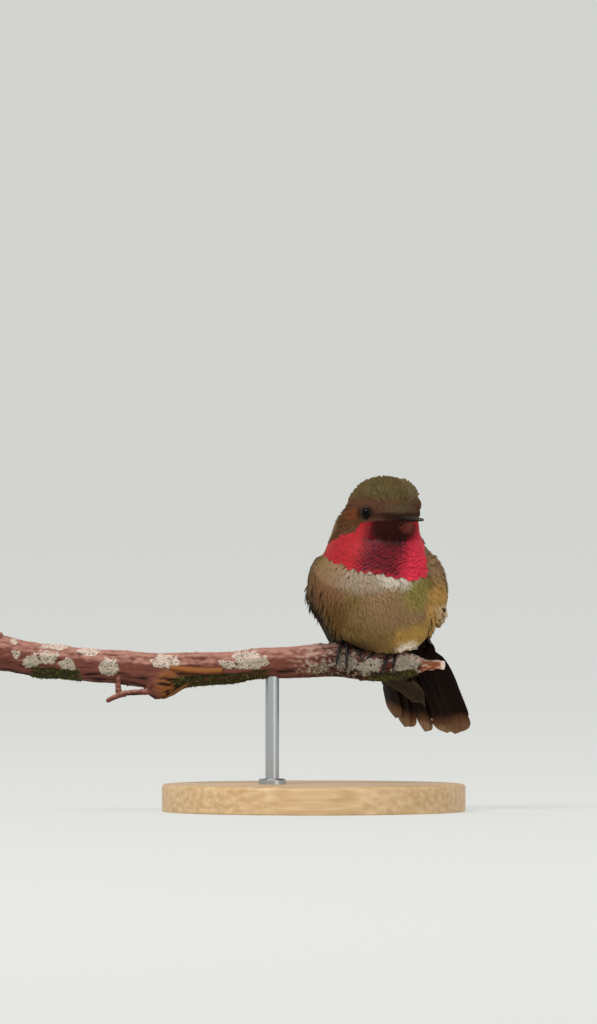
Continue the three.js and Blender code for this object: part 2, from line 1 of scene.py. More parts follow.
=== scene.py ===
# %% [markdown]
# # A red-throated hummingbird, puffed up on its perch
# The bird is a museum-style model, life size, on a cut length of branch held by a small stand. The
# solid parts come from the CAD frame. This script grows the plumage over them, because what the eye
# reads as a bird is feathers: thousands of small overlapping vanes that all lie one way.
# A coat like that could be made with hair curves, but those are lost when a model is exported, so
# every feather here is a thin closed mesh.

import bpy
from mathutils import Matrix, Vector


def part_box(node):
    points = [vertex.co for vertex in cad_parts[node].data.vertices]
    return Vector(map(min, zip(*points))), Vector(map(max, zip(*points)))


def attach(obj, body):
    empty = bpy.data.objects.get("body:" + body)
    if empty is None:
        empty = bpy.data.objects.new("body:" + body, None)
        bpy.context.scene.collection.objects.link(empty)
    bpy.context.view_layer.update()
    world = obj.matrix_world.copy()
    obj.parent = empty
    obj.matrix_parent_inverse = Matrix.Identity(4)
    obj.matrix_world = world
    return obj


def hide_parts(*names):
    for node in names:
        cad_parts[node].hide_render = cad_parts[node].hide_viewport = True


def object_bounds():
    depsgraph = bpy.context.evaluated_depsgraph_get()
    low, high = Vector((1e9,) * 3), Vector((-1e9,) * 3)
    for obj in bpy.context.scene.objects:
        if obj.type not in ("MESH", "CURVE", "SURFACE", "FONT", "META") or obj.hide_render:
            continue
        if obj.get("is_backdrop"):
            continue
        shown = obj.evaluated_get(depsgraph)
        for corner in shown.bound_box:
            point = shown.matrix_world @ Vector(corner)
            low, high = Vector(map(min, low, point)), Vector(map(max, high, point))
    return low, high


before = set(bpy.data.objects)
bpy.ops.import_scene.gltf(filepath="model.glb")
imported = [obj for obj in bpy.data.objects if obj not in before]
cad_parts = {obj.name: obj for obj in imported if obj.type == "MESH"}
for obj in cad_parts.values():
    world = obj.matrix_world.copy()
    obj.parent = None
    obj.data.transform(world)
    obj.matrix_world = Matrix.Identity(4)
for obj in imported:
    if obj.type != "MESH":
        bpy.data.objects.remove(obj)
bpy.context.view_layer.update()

# %% Units and small helpers
import math

import bmesh
import bpy
import numpy as np
from mathutils import Vector, kdtree, noise
from mathutils.bvhtree import BVHTree

MM = 0.001
X, Y, UP = np.eye(3)
rng = np.random.default_rng(11)


def unit(vectors):
    """The same directions with length 1."""
    return vectors / np.maximum(np.linalg.norm(vectors, axis=-1, keepdims=True), 1e-12)


def dot(a, b):
    """Row by row dot products, kept as a column."""
    return (a * b).sum(-1, keepdims=True)


def lying(vectors, normals):
    """The directions of vectors, laid flat on the surface that has these normals."""
    return unit(vectors - dot(vectors, normals) * normals)


def ease(x, low, high):
    """0 below low, 1 above high, and a smooth change between."""
    t = np.clip((x - low) / (high - low), 0, 1)
    return t * t * (3 - 2 * t)


def mix(a, b, share):
    """a where share is 0 and b where it is 1. A single colour spreads over all the shares."""
    share = np.asarray(share)[..., None]
    return a * (1 - share) + b * share


def layered(colour, *layers):
    """The colour with paints laid over it in turn. Each layer is (paint, share)."""
    for paint, share in layers:
        colour = mix(colour, paint, share)
    return colour


def linear(hex_colour):
    """An sRGB hex colour as linear red, green and blue."""
    value = np.array([int(hex_colour[i : i + 2], 16) for i in (1, 3, 5)]) / 255
    return np.where(value <= 0.04045, value / 12.92, ((value + 0.055) / 1.055) ** 2.4)


def rgba(hex_colour):
    return (*linear(hex_colour), 1.0)


def grain(points, size, seed=0.0):
    """Smooth noise from about -1 to 1 at each point. size is the width of one blotch."""
    return np.array([noise.noise(Vector(p / size + seed)) for p in points])


# %% Mesh helpers
def placed(name, data):
    """An object that shows data, linked into the scene."""
    obj = bpy.data.objects.new(name, data)
    bpy.context.scene.collection.objects.link(obj)
    return obj


def mesh_piece(name, points, triangles, finish, tint=None, maps=None, shading=None):
    """A shown piece on the root body. tint is a colour for each point, maps holds named UV maps, and
    shading gives the normals that light is worked out with, where they aren't the mesh's own."""
    mesh = bpy.data.meshes.new(name)
    mesh.vertices.add(len(points))
    mesh.vertices.foreach_set("co", np.asarray(points, np.float32).ravel())
    mesh.loops.add(triangles.size)
    mesh.loops.foreach_set("vertex_index", triangles.astype(np.int32).ravel())
    mesh.polygons.add(len(triangles))
    mesh.polygons.foreach_set("loop_start", np.arange(0, triangles.size, 3, dtype=np.int32))
    mesh.polygons.foreach_set("use_smooth", np.ones(len(triangles), bool))
    mesh.update(calc_edges=True)
    if tint is not None:
        layer = mesh.color_attributes.new("tint", "FLOAT_COLOR", "POINT")
        colours = np.ones((len(points), 4), np.float32)
        colours[:, :3] = np.clip(tint, 0, 1)
        layer.data.foreach_set("color", colours.ravel())
    for label, uv in (maps or {}).items():
        layer = mesh.uv_layers.new(name=label)
        layer.data.foreach_set("uv", uv[triangles.ravel()].astype(np.float32).ravel())
    if shading is not None:
        mesh.normals_split_custom_set_from_vertices(shading)
    mesh.materials.append(finish)
    obj = placed(name, mesh)
    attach(obj, "root")
    return obj


def joined(parts):
    """Several (points, triangles, ...) parts as one, with the triangles renumbered."""
    starts = np.cumsum([0] + [len(p[0]) for p in parts[:-1]])
    columns = [np.concatenate(column) for column in zip(*parts)]
    columns[1] = np.concatenate([p[1] + start for p, start in zip(parts, starts)])
    return columns


def grid_faces(rows, columns):
    """Triangles over a grid of points, row by row, where each row is a closed ring."""
    i, j = np.meshgrid(np.arange(rows - 1), np.arange(columns), indexing="ij")
    k = (j + 1) % columns
    a, b, c, d = i * columns + j, i * columns + k, (i + 1) * columns + k, (i + 1) * columns + j
    return np.concatenate([np.stack([a, b, c], -1), np.stack([a, c, d], -1)]).reshape(-1, 3)


def around(side, other, count):
    """count directions around an axis, from side towards other."""
    turn = np.linspace(0, 2 * np.pi, count, endpoint=False)[:, None]
    return np.cos(turn) * side[..., None, :] + np.sin(turn) * other[..., None, :]


def outside_out(points, triangles):
    """The same closed surface with its faces turned outward."""
    a, b, c = (points[triangles[:, i]] - points.mean(0) for i in range(3))
    return points, triangles if (a * np.cross(b, c)).sum() > 0 else triangles[:, ::-1]


def capped(rings):
    """A closed surface through rings of points, (rows, sides, 3), with a fan over each end."""
    rows, sides = rings.shape[:2]
    points = np.concatenate([rings.reshape(-1, 3), [rings[0].mean(0)], [rings[-1].mean(0)]])
    here = np.arange(sides)
    after = (here + 1) % sides
    last = (rows - 1) * sides
    fans = [
        np.stack([np.full(sides, rows * sides), after, here], -1),
        np.stack([np.full(sides, rows * sides + 1), last + here, last + after], -1),
    ]
    return outside_out(points, np.concatenate([grid_faces(rows, sides), *fans]))


def welded(node):
    """The points and triangles of a CAD node, with its doubled corners joined."""
    made = bmesh.new()
    made.from_mesh(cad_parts[node].data)
    bmesh.ops.remove_doubles(made, verts=made.verts, dist=1e-6)
    bmesh.ops.triangulate(made, faces=made.faces)
    made.normal_update()
    points = np.array([v.co for v in made.verts])
    normals = np.array([v.normal for v in made.verts])
    triangles = np.array([[v.index for v in f.verts] for f in made.faces])
    made.free()
    return points, triangles, normals


def remeshed(points, triangles, voxel):
    """One clean surface around overlapping closed shells, as points and triangles."""
    mesh = bpy.data.meshes.new("shells")
    mesh.from_pydata(points.tolist(), [], triangles.tolist())
    obj = placed("shells", mesh)
    skin = obj.modifiers.new("Remesh", "REMESH")
    skin.mode = "VOXEL"
    skin.voxel_size = voxel
    obj.modifiers.new("Triangulate", "TRIANGULATE")
    made = obj.evaluated_get(bpy.context.evaluated_depsgraph_get()).to_mesh()
    co = np.empty(len(made.vertices) * 3)
    made.vertices.foreach_get("co", co)
    index = np.empty(len(made.polygons) * 3, np.int32)
    made.polygons.foreach_get("vertices", index)
    bpy.data.objects.remove(obj)
    return co.reshape(-1, 3), index.reshape(-1, 3)


def normals_of(points, triangles):
    """A smooth normal at each point, from the faces around it."""
    a, b, c = (points[triangles[:, i]] for i in range(3))
    face = np.cross(b - a, c - a)
    total = np.zeros_like(points)
    for i in range(3):
        np.add.at(total, triangles[:, i], face)
    return unit(total)


SHRINK, REGROW = 0.5, -0.53


def smoothed(points, triangles, rounds):
    """Taubin smoothing: each round shrinks and then grows, which evens out facets but not the form."""
    pairs = np.concatenate([triangles[:, [0, 1]], triangles[:, [1, 2]], triangles[:, [2, 0]]])
    ends = np.concatenate([pairs[:, 0], pairs[:, 1]])
    others = np.concatenate([pairs[:, 1], pairs[:, 0]])
    count = np.bincount(ends, minlength=len(points))[:, None]
    for _ in range(rounds):
        for share in (SHRINK, REGROW):
            total = np.stack([np.bincount(ends, points[others, k], len(points)) for k in range(3)], -1)
            points = points + share * (total / count - points)
    return points


# %% [markdown]
# ## Finishes
# Plumage is keratin. Its colour comes from pigment in the dull feathers and from stacked layers of
# air and keratin in the throat, which shine like metal. One painted attribute, tint, carries the
# markings, so that skin and feathers always agree. A texture image could do it too, but it would
# need an unwrap of every feather.


# %% One helper for nodes, one for finishes
def add_node(tree, kind, inputs=None, **settings):
    """A shader node. Each input is either a value or the socket that is linked to it."""
    made = tree.nodes.new(kind)
    for key, value in settings.items():
        setattr(made, key, value)
    for key, value in (inputs or {}).items():
        if isinstance(value, bpy.types.NodeSocket):
            tree.links.new(value, made.inputs[key])
        else:
            made.inputs[key].default_value = value
    return made


def new_finish(name, inputs, build=None):
    """A material with one Principled shader. build(tree) returns more inputs for it."""
    made = bpy.data.materials.new(name)
    made.use_nodes = True
    tree = made.node_tree
    tree.nodes.clear()
    shader = add_node(tree, "ShaderNodeBsdfPrincipled", {**inputs, **(build(tree) if build else {})})
    add_node(tree, "ShaderNodeOutputMaterial", {"Surface": shader.outputs["BSDF"]})
    return made


def painted(tree):
    """The base colour, read from the painted attribute."""
    return {"Base Color": add_node(tree, "ShaderNodeAttribute", attribute_name="tint").outputs["Color"]}


def bumped(tree, height, strength, distance):
    """The normal, for relief that follows a height socket and is distance deep in metres."""
    bump = add_node(tree, "ShaderNodeBump",
                    {"Height": height, "Strength": strength, "Distance": distance})
    return {"Normal": bump.outputs["Normal"]}


# Soft contour feathers: matte keratin barbs, with a faint sheen from the down between them.
plumage = new_finish(
    "feather_keratin_matte",
    {"Roughness": 0.85, "Specular IOR Level": 0.1, "Sheen Weight": 0.1, "Sheen Roughness": 0.5,
     "Sheen Tint": rgba("#b08a58")},
    painted,
)
# Throat feathers: layered keratin barbules, which give a metallic red that changes with the light.
iridescent = new_finish(
    "feather_keratin_iridescent",
    {"Roughness": 0.55, "Metallic": 0.2, "Specular IOR Level": 0.2},
    painted,
)
# Bare skin under the feathers: thin, dry and matte.
hide = new_finish("bird_skin_dry", {"Roughness": 0.85, "Specular IOR Level": 0.2}, painted)


def vane_bump(tree):
    """Fine barbs on a long feather, one each 0.12 mm, coarser than the real 0.03 mm so they show."""
    lie = add_node(tree, "ShaderNodeUVMap", uv_map="Vane")
    waves = add_node(
        tree, "ShaderNodeTexWave",
        {"Vector": lie.outputs["UV"], "Scale": 2.6, "Distortion": 0.6, "Detail": 1.0},
        bands_direction="X")
    return {**bumped(tree, waves.outputs["Fac"], 0.35, 0.06 * MM), **painted(tree)}


# Flight feathers: stiff keratin vanes, smoother than the body's, so they catch long highlights.
vanes = new_finish("feather_keratin_stiff", {"Roughness": 0.6, "Specular IOR Level": 0.1}, vane_bump)
# Bill: horn over bone, polished by use to a low shine.
horn = new_finish("horn_worn_smooth", {"Roughness": 0.34, "Specular IOR Level": 0.5}, painted)
# Eye: wet cornea over an almost black iris, so the studio light shows as one sharp highlight.
cornea = new_finish(
    "eye_wet_cornea", {"Roughness": 0.06, "IOR": 1.376, "Specular IOR Level": 0.14}, painted)
# Legs and toes: small overlapping scutes of keratin, dark and slightly waxy.
scales = new_finish("leg_scutes_waxy", {"Roughness": 0.5, "Specular IOR Level": 0.3}, painted)
print("Finishes:", ", ".join(m.name for m in (plumage, iridescent, hide, vanes, horn, cornea, scales)))

# %% [markdown]
# ## Where things are
# Every piece is placed from the CAD nodes. The line between the eyes gives the head's own left, and
# a right angle to it gives the way the bill points. A second frame follows the breast, because the
# head is turned to one side.


# %% The head's and the body's own frames
def middle(node):
    """The middle of a CAD node's box."""
    low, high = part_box(node)
    return np.array((low + high) / 2)


BELLY = np.array([14.0, -2.0, 46.0]) * MM  # the middle of the belly in the part's frame
EYE_RADIUS = 1.8 * MM
EYE_AHEAD = 3.05 * MM  # the eyes lie this far in front of the head's middle
EYE_TURN = 1.9 * MM  # moves what the eyes look at forward, from straight out of the head
OPENING = math.radians(47)  # half the angle that the lids leave open
BILL_COVERED = 0.2  # how much of the bill lies under the face's feathers
TAIL_OFFSET = [0.004, 0.009, 0]  # from the belly's middle to the line that the tail's quills follow

eyes = {side: middle("eye_" + side) for side in ("left", "right")}
head_left = unit(eyes["left"] - eyes["right"])
head_ahead = np.cross(head_left, UP)
head = (eyes["left"] + eyes["right"]) / 2 - head_ahead * EYE_AHEAD
gazes = {side: unit(centre - head + EYE_TURN * head_ahead) for side, centre in eyes.items()}
bill_points = np.concatenate([welded(n)[0] for n in ("bill_upper", "bill_lower")])
bill_reach = (bill_points - head) @ head_ahead
bill_root = bill_points[bill_reach < bill_reach.min() + 0.1 * MM].mean(0)
bill_tip = bill_points[bill_reach > bill_reach.max() - 0.1 * MM].mean(0)
bill_face = bill_root + (bill_tip - bill_root) * BILL_COVERED

tail_nodes = [f"tail_feather_{side}_{n}" for side in ("left", "right") for n in range(1, 6)]
tail_points = np.concatenate([welded(n)[0] for n in tail_nodes])
tail_start = middle("undertail_coverts")
tail_end = tail_points[tail_points[:, 2].argsort()[:40]].mean(0)
tail_way = unit(tail_end - BELLY - TAIL_OFFSET)
print("Head turned", round(math.degrees(math.atan2(head_ahead[0], -head_ahead[1]))), "degrees")
print("Bill", round(float(np.linalg.norm(bill_tip - bill_root)) / MM, 1), "mm with its root")
print("Tail points along", tail_way.round(2))

# %% [markdown]
# ## Markings
# One function says what colour the plumage has at any place, and both skin and feathers read it. It
# works on two measures: the height over the belly's middle, and the turn around the bird's upright
# axis. On a real male the throat's red shield runs from the chin to a point on each side of the
# neck. Next to it, the breast is white, the belly buff with olive, and the back bronze green.

# %% The plumage's colours
CROWN = linear("#55472b")
CROWN_GREEN = linear("#5e5630")
FOREHEAD = linear("#4f402e")
BROW = linear("#55382a")
CHEEK = linear("#6c3a22")
EAR = linear("#56361f")
NAPE = linear("#55301c")
LORES = linear("#240d08")
# Dark of the chin: painted shade where the throat's iridescence catches no light.
CHIN_PAINTED_SHADE = linear("#2b0f0a")
MALAR = linear("#74362a")
CRIMSON = linear("#6e0f1c")
SCARLET = linear("#ad2229")
ROSE = linear("#d62d44")
DARK_BASE = linear("#46101a")
WHITE = linear("#c4b9a7")
CHEST = linear("#9f8c78")
BUFF = linear("#98795a")
OLIVE = linear("#745f34")
MUSTARD = linear("#b08a48")
GREEN = linear("#88823a")
ORANGE = linear("#bb8e50")
CINNAMON = linear("#77533a")
UMBER = linear("#5e4326")
VENT = linear("#f0e4d0")
PALE_FLUFF_AND_PAINTED_LIGHT = linear("#d2bb9c")
CROWN_LIT = linear("#7d6d50")
BACK = linear("#605229")
RUMP = linear("#80562f")
UNDERTAIL = linear("#51443a")
SHOULDER = linear("#86694c")
WING = linear("#4d4030")
EDGE = linear("#251c14")
BELLY_PAINTED_SHADOW = linear("#33231a")
COLLAR = linear("#b5a086")

# Patches on the front, over olive: colour, middle and half size in mm (across, up), and strength.
PATCHES = [
    (BUFF, (3.5, -1.5), (7.5, 5.0), 0.75),
    (MUSTARD, (8.0, -8.2), (5.0, 3.2), 0.9),
    (CINNAMON, (-11.5, 2.5), (4.5, 4.2), 0.9),
    (UMBER, (-10.5, -4.5), (3.6, 4.0), 0.7),
    (GREEN, (8.4, 1.2), (3.3, 3.4), 0.6),
    (ORANGE, (12.9, -1.2), (2.2, 6.0), 0.85),
    (CHEST, (-3.0, 4.7), (7.0, 2.9), 0.9),
    (BUFF, (-10.2, 6.4), (3.2, 2.8), 0.7),
    (WHITE, (4.2, 5.0), (3.9, 2.5), 1.0),
    # Painted shadow along the belly's lower edge, over the feet.
    (BELLY_PAINTED_SHADOW, (-7.5, -10.8), (6.5, 2.4), 0.8),
    (VENT, (7.2, -11.4), (3.1, 2.1), 1.0),
    # Pale fluff on the flank, partly painted light: the pale backdrop seen through the thin fluff.
    (PALE_FLUFF_AND_PAINTED_LIGHT, (15.2, -3.4), (2.2, 2.4), 0.8),
]

# %% The throat's red shield: its lower and upper edges, as (turn in degrees, height in mm)
SHIELD_LOW = [(-104, 13), (-90, 10), (-55, 8.3), (-42, 8), (-34, 7), (-18, 6.2), (-3, 6.2), (8, 5.3),
              (26, 4.8), (39, 4.4), (46, 5), (56, 5.5), (61, 8), (66, 10.8), (90, 13.7), (112, 15)]
SHIELD_HIGH = [(-104, 12), (-90, 12.2), (-70, 14.1), (-52, 14.6), (-42, 16.6), (-30, 16.9), (-13, 17.2),
               (27, 17.4), (67, 17), (96, 16.2), (106, 15.2), (112, 14)]


def upright_turn(x, y, z):
    """Degrees around the neck's upright axis: 0 to the front, and growing to the bird's left."""
    high = ease(z, 8, 16)
    return np.degrees(np.arctan2(x + 0.3 - 1.45 * high, -(y + 1.4 + 1.6 * high)))


def blob(x, z, centre, radii, soft=0.45):
    """1 within an ellipse seen from the front, fading to 0 over its edge."""
    reach = np.hypot((x - centre[0]) / radii[0], (z - centre[1]) / radii[1])
    return 1 - ease(reach, 1 - soft, 1 + soft)


def in_head(points):
    """How far points lie to the head's left, ahead of its middle and above it, in mm."""
    return ((points - head) @ np.stack([head_left, head_ahead, UP], 1) / MM).T


def near_openings(points):
    """How far points are from the nearer eye and from the foot of the bill, in mm."""
    to_eyes = [np.linalg.norm(points - e, axis=1) for e in eyes.values()]
    return np.minimum(*to_eyes) / MM, np.linalg.norm(points - bill_face, axis=1) / MM


def on_shield(turn, z):
    """Whether places belong to the throat's shield, and how high its lower edge is there."""
    low = np.interp(turn, *np.array(SHIELD_LOW).T)
    high = np.interp(turn, *np.array(SHIELD_HIGH).T)
    return (z > low) & (z < high) & (np.abs(turn) < 112), low


def markings(points):
    """The feather's tip colour, the colour of its base, and how much it belongs to the red shield.
    Places are in mm from the belly's middle, and angles in degrees."""
    x, y, z = ((points - BELLY) / MM).T
    side, ahead, up = in_head(points)
    turn = upright_turn(x, y, z)
    puffed = 20 * (turn > 0) * ease(-z, -3, -1)  # the loose flank reaches round over the wing
    front = 1 - ease(np.abs(turn), 72 + puffed, 96 + puffed)
    bearing = np.abs(np.degrees(np.arctan2(side, ahead)))
    level = np.degrees(np.arctan2(up, np.hypot(side, ahead)))
    blotch = grain(points, 3.2 * MM)
    fleck = grain(points, 1.2 * MM, 7.3)
    warp = 1.0 * blotch + 0.5 * fleck

    # Trunk: green-bronze back, darker wings, rusty rump, then the front's soft patches.
    patches = [(paint, strength * blob(x + 0.7 * warp, z - 0.7 * warp, centre, radii))
               for paint, centre, radii, strength in PATCHES]
    belly = layered(
        mix(OLIVE, BUFF, 0.35 * ease(warp, -0.6, 0.9)), *patches,
        (UMBER, 0.3 * ease(-fleck, 0.2, 0.7) * (1 - ease(z, 2, 4))))
    shoulder = ease(turn, 50, 60) * (1 - ease(turn, 100, 125)) * ease(z, 3.2, 5.5)
    colour = layered(
        mix(BACK, WING, ease(np.abs(turn), 60, 90) * (1 - ease(np.abs(turn), 125, 145))),
        (RUMP, ease(-z, 5, 10) * ease(np.abs(turn), 110, 135)),
        (UNDERTAIL, ease(-z, 11.5, 14)),
        (EDGE, 0.9 * ease(-turn, 84, 96) * (1 - ease(-turn, 118, 140)) * (z < 4)),
        (belly, front),
        (SHOULDER, 0.9 * shoulder))

    # Head: crown to nape, then brow, ear, cheek, the stripe of the lores and the eye's dark socket.
    gloss = ease(fleck + blotch, -0.1, 0.6) * ease(level + 8 * fleck, 20, 50)
    brow = (1 - ease(level + 6 * fleck, 12, 32)) * (1 - ease(bearing, 95, 120)) * ease(bearing, 5, 40)
    ear = (1 - ease(level + 5 * fleck, 4, 14)) * ease(bearing, 62, 76)
    cheek = 1 - ease(np.hypot((bearing - 88) / 22, (level + 1) / 11), 0.45, 1.25)
    stripe = (1 - ease(level, -1, 3.5)) * (1 - ease(bearing + 1.5 * np.maximum(-3 - level, 0), 22, 56))
    socket = 1 - ease(np.hypot((bearing - 60) / 22, (level - 1) / 14), 0.6, 1)
    crown = layered(
        mix(NAPE, BACK, ease(bearing + 8 * fleck, 112, 145)),
        (CROWN, ease(level + 6 * blotch, 6, 34)),
        # The crown's own green, strongest on top, where it is partly a painted sheen.
        (CROWN_GREEN, 0.6 * gloss),
        (FOREHEAD, ease(ahead, 4.0, 7.2) * (1 - ease(level + 8 * blotch, 6, 26))),
        # Painted light on the crown's left side, which faces away from the key light.
        (CROWN_LIT, 0.5 * ease(side, 1, 4.5) * ease(level + 6 * fleck, 8, 25)),
        (BROW, 0.9 * brow),
        (EAR, ear * (1 - ease(bearing + 8 * fleck, 108, 140))),
        (CHEEK, cheek * ease(fleck, -0.9, 0.3)),
        (LORES, 0.9 * stripe),
        (LORES, 0.7 * socket))
    collar = 1 - ease(np.hypot((np.abs(turn) - 106) / 13, (z - 12.6 - 1.2 * warp) / 3.6), 0.4, 1.25)
    colour = layered(
        colour, (crown, ease(z + warp, 9, 14.5)), (COLLAR, 0.8 * collar * ease(fleck, -0.8, 0.2)))

    # The red shield over all of it. Its iridescent flash is painted in: a painted reflection, brightest
    # at its two points and lower edge, and painted shade, dark at the chin.
    inside, low = on_shield(turn, z)
    shield = inside.astype(float)
    wander = x + 0.8 * warp
    right_lobe = ease(-wander - 0.25 * (12 - z), 1.0, 5.5)
    left_lobe = ease(wander + 0.18 * (8 - z), 3.2, 7.6)
    lobes = np.maximum(right_lobe, left_lobe)
    rim = 0.6 * ease(low + 1.6 + 0.5 * fleck - z, 0, 1.4)
    dark = 1 - ease(np.hypot((x - 3.2) / 5.2, (z - 15.4) / 3.5), 0.7, 1.3)
    red = layered(
        mix(CRIMSON, mix(SCARLET, ROSE, ease(x, 0, 6)), np.maximum(lobes, rim)),
        (CHIN_PAINTED_SHADE, 0.97 * dark),
        (MALAR, 0.85 * blob(x, z, (6.2, 15.9), (1.5, 1.3)) * (y < -8)))
    colour = mix(colour, red, shield)
    # The bases carry the same painted reflection and shade: red at the two points, dark at the chin.
    base = layered(
        0.9 * colour, (DARK_BASE, shield * (1 - 0.95 * lobes)), (0.7 * CHIN_PAINTED_SHADE, shield * dark))
    return colour, base, shield * (1 - 0.8 * dark)


# %% [markdown]
# ## Skin
# One skin wraps the head, neck, trunk and wing arms, so that no seam shows where the CAD nodes meet.
# The closed solids are swollen a little to bridge the gaps between them, remeshed as one, smoothed,
# and then drawn in by the depth of the coat. Sculpting by hand would look the same but wouldn't
# follow the frame if it changed.

# %% Measures of the coat
FLESH = ["head", "neck", "trunk", "wing_left_coverts", "wing_right_coverts",
         "undertail_coverts", "uppertail_coverts"]
SWELL = 0.25 * MM
SKIN_VOXEL = 0.42 * MM
SKIN_ROUNDS = 70  # smoothing rounds, enough to close the steps between the solids
# The skin is darker than the feathers' bases: painted shade under the coat.
SKIN_SHADE = 0.7  # the skin's colour as a share of the feathers' bases
BILL_BUTT = 1.35 * MM  # radius of the two balls that carry the bill
DEEPEST_COAT = 1.2  # mm, on the puffed belly


def pressed(points):
    """1 where the folded wings and the drawn-in neck press the coat flat."""
    x, _, z = ((points - BELLY) / MM).T
    right = ease(-x, 5, 9) * ease(z, 2, 6) * (1 - ease(z, 15, 19))
    left = ease(x, 8.5, 12) * ease(z, 2, 5) * (1 - ease(z, 10, 13))
    return np.maximum(right, 0.55 * left)


def coat_depth(points):
    """How far the feathers stand over the skin: least around the bill and eyes."""
    x, y, z = ((points - BELLY) / MM).T
    turn = upright_turn(x, y, z)
    throat = on_shield(turn, z)[0]
    depth = DEEPEST_COAT - 0.45 * ease(z, 3, 12) - 0.15 * ease(z, 12, 17) - 0.2 * throat * ease(z, 4, 8)
    depth = depth - 0.3 * ease(np.abs(turn), 95, 125) * (1 - ease(z, 8, 12))
    depth = depth + 0.75 * pressed(points)
    near_eye, near_bill = near_openings(points)
    depth = np.minimum(depth, 0.28 + 0.3 * ease(near_bill, 1.5, 6))
    return np.minimum(depth, 0.3 + 0.4 * ease(near_eye, 2.0, 4.5)) * MM


def ball(centre, radius, rings=12, sides=20):
    """A closed ball."""
    polar = np.linspace(0, np.pi, rings + 2)[1:-1, None, None]
    shape = np.sin(polar) * around(X, Y, sides) + np.cos(polar) * UP
    return capped(centre + radius * shape[:, ::-1])


# %% Build the skin
shells = []
for node in FLESH:
    points, triangles, normals = welded(node)
    shells.append((points + SWELL * normals, triangles))
shells += [ball(e, EYE_RADIUS) for e in eyes.values()]
shells += [ball(bill_root + (bill_tip - bill_root) * share, BILL_BUTT) for share in (0.03, 0.09)]
skin_points, skin_faces = remeshed(*joined(shells), SKIN_VOXEL)
skin_points = smoothed(skin_points, skin_faces, SKIN_ROUNDS)
skin_normals = normals_of(skin_points, skin_faces)
skin_points = skin_points - skin_normals * (coat_depth(skin_points)[:, None] + SWELL)
skin_points = smoothed(skin_points, skin_faces, 4)
skin_normals = normals_of(skin_points, skin_faces)
skin_tree = BVHTree.FromPolygons(skin_points.tolist(), skin_faces.tolist())
_, skin_bases, _ = markings(skin_points)
# The skin takes the bases' colours, darkened as painted shade under the coat.
skin = mesh_piece("skin", skin_points, skin_faces, hide, SKIN_SHADE * skin_bases)
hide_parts(*FLESH)
print("Skin:", len(skin_faces), "triangles")

# %% An unwrap of the skin's own shape, on which each feather of the coat gets its place
bpy.context.view_layer.objects.active = skin
skin.select_set(True)
bpy.ops.object.mode_set(mode="EDIT")
bpy.ops.mesh.select_all(action="SELECT")
bpy.ops.uv.smart_project(angle_limit=math.radians(60), island_margin=0.004)
bpy.ops.object.mode_set(mode="OBJECT")
skin.select_set(False)
skin.data.uv_layers.active.name = "OFBake"
skin_uv = np.empty(len(skin_faces) * 6)
skin.data.uv_layers["OFBake"].data.foreach_get("uv", skin_uv)
skin_uv = skin_uv.reshape(-1, 3, 2)
print("Unwrap spans", skin_uv.min().round(3), "to", skin_uv.max().round(3))

# %% [markdown]
# ## One feather
# A contour feather is a shaft with barbs that lean forward from both sides. Hooks zip the barbs into
# a smooth vane near the tip of a crown or throat feather. On the belly they hang loose, and the
# border frays. Both are the same mesh here: a closed lens whose border runs from barb tip to notch.
# Only the depth of the notches and the scatter of the tips change.


# %% The pattern that each feather is cut from
def vane_outline(u, point):
    """Half the vane's width at each place along the shaft, at most 1. A high point makes it narrow."""
    return np.sin(np.pi * np.clip(u, 0, 1) ** 1.25) ** point


def feather_pattern(barbs, notch, sweep, point):
    """(u along the shaft, v across, height, loose) for each corner, and the triangles.
    loose is 1 at the barb tips, which may be scattered."""
    joints = np.linspace(0, 0.9, barbs + 1)
    roots = np.concatenate([joints, joints])
    corners = [np.stack([roots, 0 * roots, np.repeat([1, -1], barbs + 1), 0 * roots], 1)]
    left, right = 2 * barbs + 2, 4 * barbs + 3  # where the corners of the two borders start
    tip = right + 2 * barbs + 1
    faces = [[0, left, barbs + 1], [0, barbs + 1, right]]
    for s, start in ((-1, left), (1, right)):
        gap_u = joints + sweep * (1 - notch) * (1 - 0.85 * joints**2)
        gap_v = s * (1 - notch * ease(joints, 0.25, 0.6)) * vane_outline(gap_u, point) * 0.93
        middle_u = (joints[:-1] + joints[1:]) / 2
        tip_u = middle_u + sweep * (1 - 0.85 * middle_u**2)
        tip_v = s * vane_outline(tip_u, point)
        border = np.zeros((2 * barbs + 1, 4))
        border[0::2, 0], border[0::2, 1] = gap_u, gap_v
        border[1::2, 0], border[1::2, 1], border[1::2, 3] = tip_u, tip_v, 1
        corners.append(border)
        for layer in (0, barbs + 1):
            side_faces = []
            for j in range(barbs):
                a, b, gap = layer + j, layer + j + 1, start + 2 * j
                side_faces += [[a, gap, gap + 1], [a, gap + 1, b], [b, gap + 1, gap + 2]]
            side_faces.append([layer + barbs, start + 2 * barbs, tip])
            flip = (s > 0) == (layer == 0)
            faces += [f if flip else f[::-1] for f in side_faces]
    corners.append([[1, 0, 0, 1]])
    return np.concatenate(corners), np.array(faces)[:, ::-1]


# %% Roots, and the lie of the coat
def lie_of_coat(points, normals):
    """Which way the feathers point: away from the bill on the head, and towards the tail below."""
    z = (points - BELLY)[:, 2:] / MM
    from_bill = unit(points - bill_face - head_ahead * 1.5 * MM)
    back = ease((points - head) @ -head_ahead / MM, 0, 7)[:, None]
    on_head = unit(from_bill + back * np.array([0, 0, -1.1]))
    share = ease(z, 4, 12)
    return lying(share * on_head + (1 - share) * tail_way, normals)


